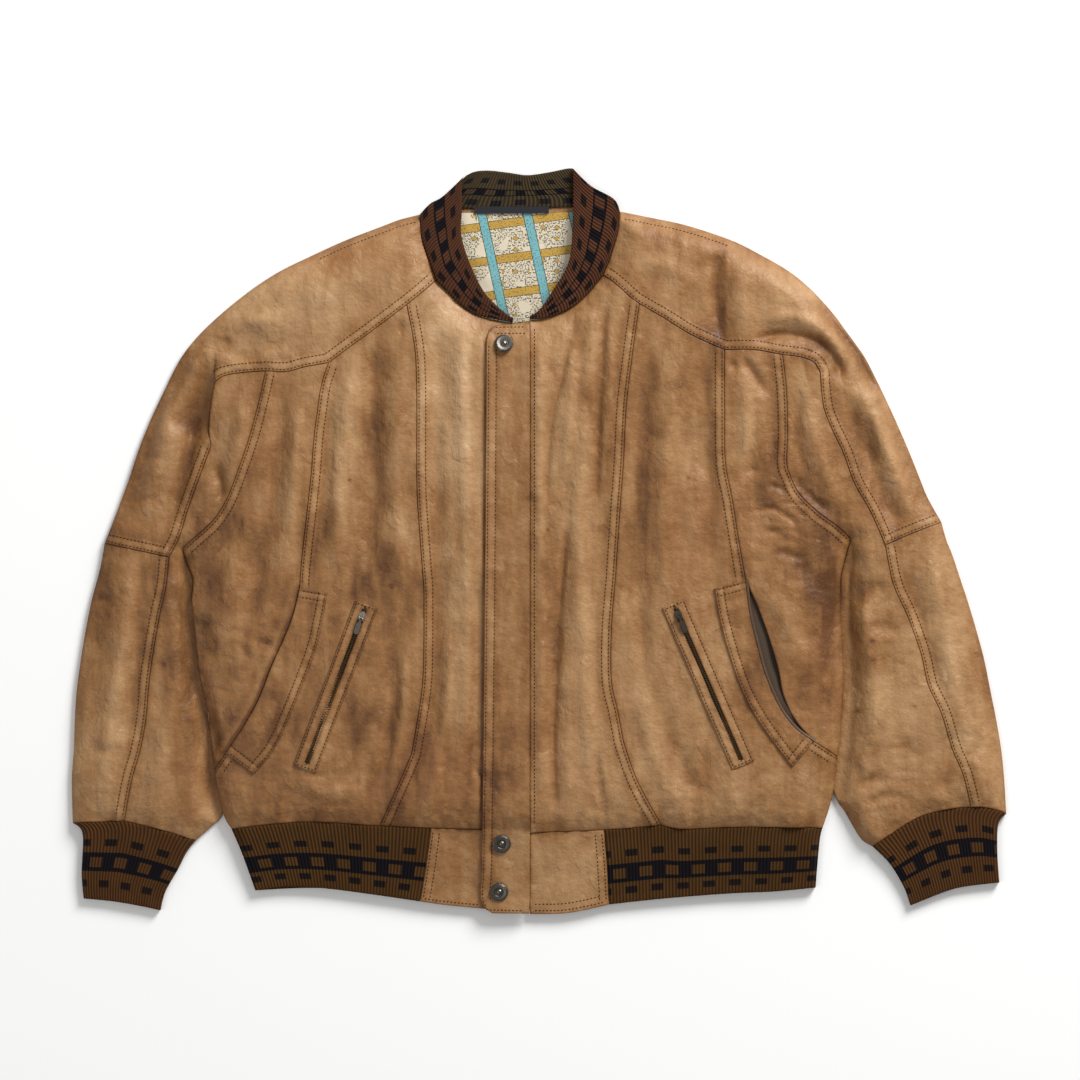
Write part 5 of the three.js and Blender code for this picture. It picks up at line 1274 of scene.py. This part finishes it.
for names, side, distances, panel, trim in (
        ("shoulderNearR", 1, (6.5,), "right_yoke", (5, 60)),
        ("shoulderNearL", -1, (6.5,), "left_sleeve_top", (5, 60)),
        ("flyEdge flyFoot", 1, fly["rows"], "fly_placket", (4, 6)),
        ("flyTopRow", -1, fly["topRows"], "fly_placket", (8, 3)),
        ("frontRow", 1, (0.0,), "left_front_center", (2, 2)), ("flyLowRow", 1, (0.0,), "fly_placket", (3, 3)),
        ("weltEdgeR", -1, welt["rows"], "right_pocket_welt", (4, 4)),
        ("weltLowR", 1, welt["rows"], "right_pocket_welt", (3, 3)),
        ("weltTopR", -1, welt["rows"], "right_pocket_welt", (3, 3)),
        ("weltEdgeL", 1, welt["rows"], "left_pocket_welt", (4, 4)),
        ("weltLowL", 1, welt["rows"], "left_pocket_welt", (3, 3)),
        ("weltTopL", -1, welt["rows"], "left_pocket_welt", (3, 3)),
        ("hemCutR", 1, (2.4, 8.6), "right_hem_tab", (3, 3)),
        ("hemCutL", -1, (2.4, 8.6), "left_hem_tab", (3, 3)),
        ("tabRowR", 1, (3.5,), "right_hem_tab", (3, 3)), ("tabRowL", 1, (3.5, 9.5), "left_hem_tab", (3, 3))):
    path = line(names)[8 if names == "flyTopRow" else 0:]   # that row starts after its line's first stretch
    sew(path, side, distances, surfaces[panel], trim)
for side in ("right", "left"):
    for part, sign in (("outer", 1 if side == "left" else -1), ("inner", -1 if side == "left" else 1)):
        row = beside(side, sign * (zips["welt"][1] - 2.0))
        sew(row, 1, (0.0,), surfaces[f"{side}_zip_welt_{part}"], (2, 2))
    one, two = place(zips[side])
    way = (two - one) / np.hypot(*(two - one))
    aside = np.array((-way[1], way[0]))
    for middle in (one + way * 2.2, two - way * 2.2):   # a row across each end
        sew(np.array([middle - aside * 9.3, middle + aside * 9.3]), 1, (0.0,), laidOn([], 2.0), (0.5, 0.5))
makeStitches()
print("topstitching made")

# Metal of the frame: snaps, sliders and pull tabs keep their solids
# the right slider's paler metal is a painted reflection of the light on it
metals = {"snap_top": gunmetal, "snap_hem_upper": gunmetal, "snap_hem_lower": gunmetal,
          "right_zip_slider": paintedReflectionNickel, "left_zip_slider": gunmetal,
          "right_zip_pull": gunmetal, "left_zip_pull": gunmetal}
for name, metal in metals.items():
    nodes[name].data.materials.clear()
    nodes[name].data.materials.append(metal)

# Floor, light and camera
stage = {"frame": 1015.2, "middle": (540, 540), "away": 6.0, "look": 12, "floorHalf": 4000, "floorTop": -0.4,
         "world": 0.36}   # mm, the distance to the camera in m
wide = stage["floorHalf"]
corners = [(x, y, stage["floorTop"]) for x, y in ((-wide, -wide), (wide, -wide), (wide, wide), (-wide, wide))]
paintedFloor = makePlain("paintedFloor", "#f4f4f3", 0.8, 400, specular=0.1)   # matt white, shows the shadow
plainMesh("floor", corners, [(0, 1, 2, 3)], paintedFloor)


def areaLight(name, at, size, power):   # aimed at the middle of the jacket
    lamp = bpy.data.lights.new(name, "AREA")
    lamp.shape, lamp.size, lamp.energy = "DISK", size, power
    light = bpy.data.objects.new(name, lamp)
    light.location = at
    light.rotation_mode = "QUATERNION"
    light.rotation_quaternion = (-Vector(at)).to_track_quat("-Z", "Y")
    bpy.context.scene.collection.objects.link(light)


areaLight("key", (2.3, 3.3, 2.3), 2.0, 300)
areaLight("fill", (-1.8, -1.0, 3.2), 2.2, 26)
world = bpy.data.worlds.new("studio")
world.use_nodes = True
world.node_tree.nodes["Background"].inputs[0].default_value = (1, 1, 1, 1)
world.node_tree.nodes["Background"].inputs[1].default_value = stage["world"]
bpy.context.scene.world = world
bpy.context.scene.view_settings.view_transform = "Standard"
camera = bpy.data.objects.new("camera", bpy.data.cameras.new("camera"))
camera.data.sensor_width = 36
camera.data.lens = camera.data.sensor_width * (stage["away"] - stage["look"] * mm) / (stage["frame"] * mm)
camera.data.clip_end = 50
camera.location = (*(place([stage["middle"]])[0] * mm), stage["away"])
bpy.context.scene.collection.objects.link(camera)
bpy.context.scene.camera = camera
print("stage made")

bpy.context.view_layer.update()
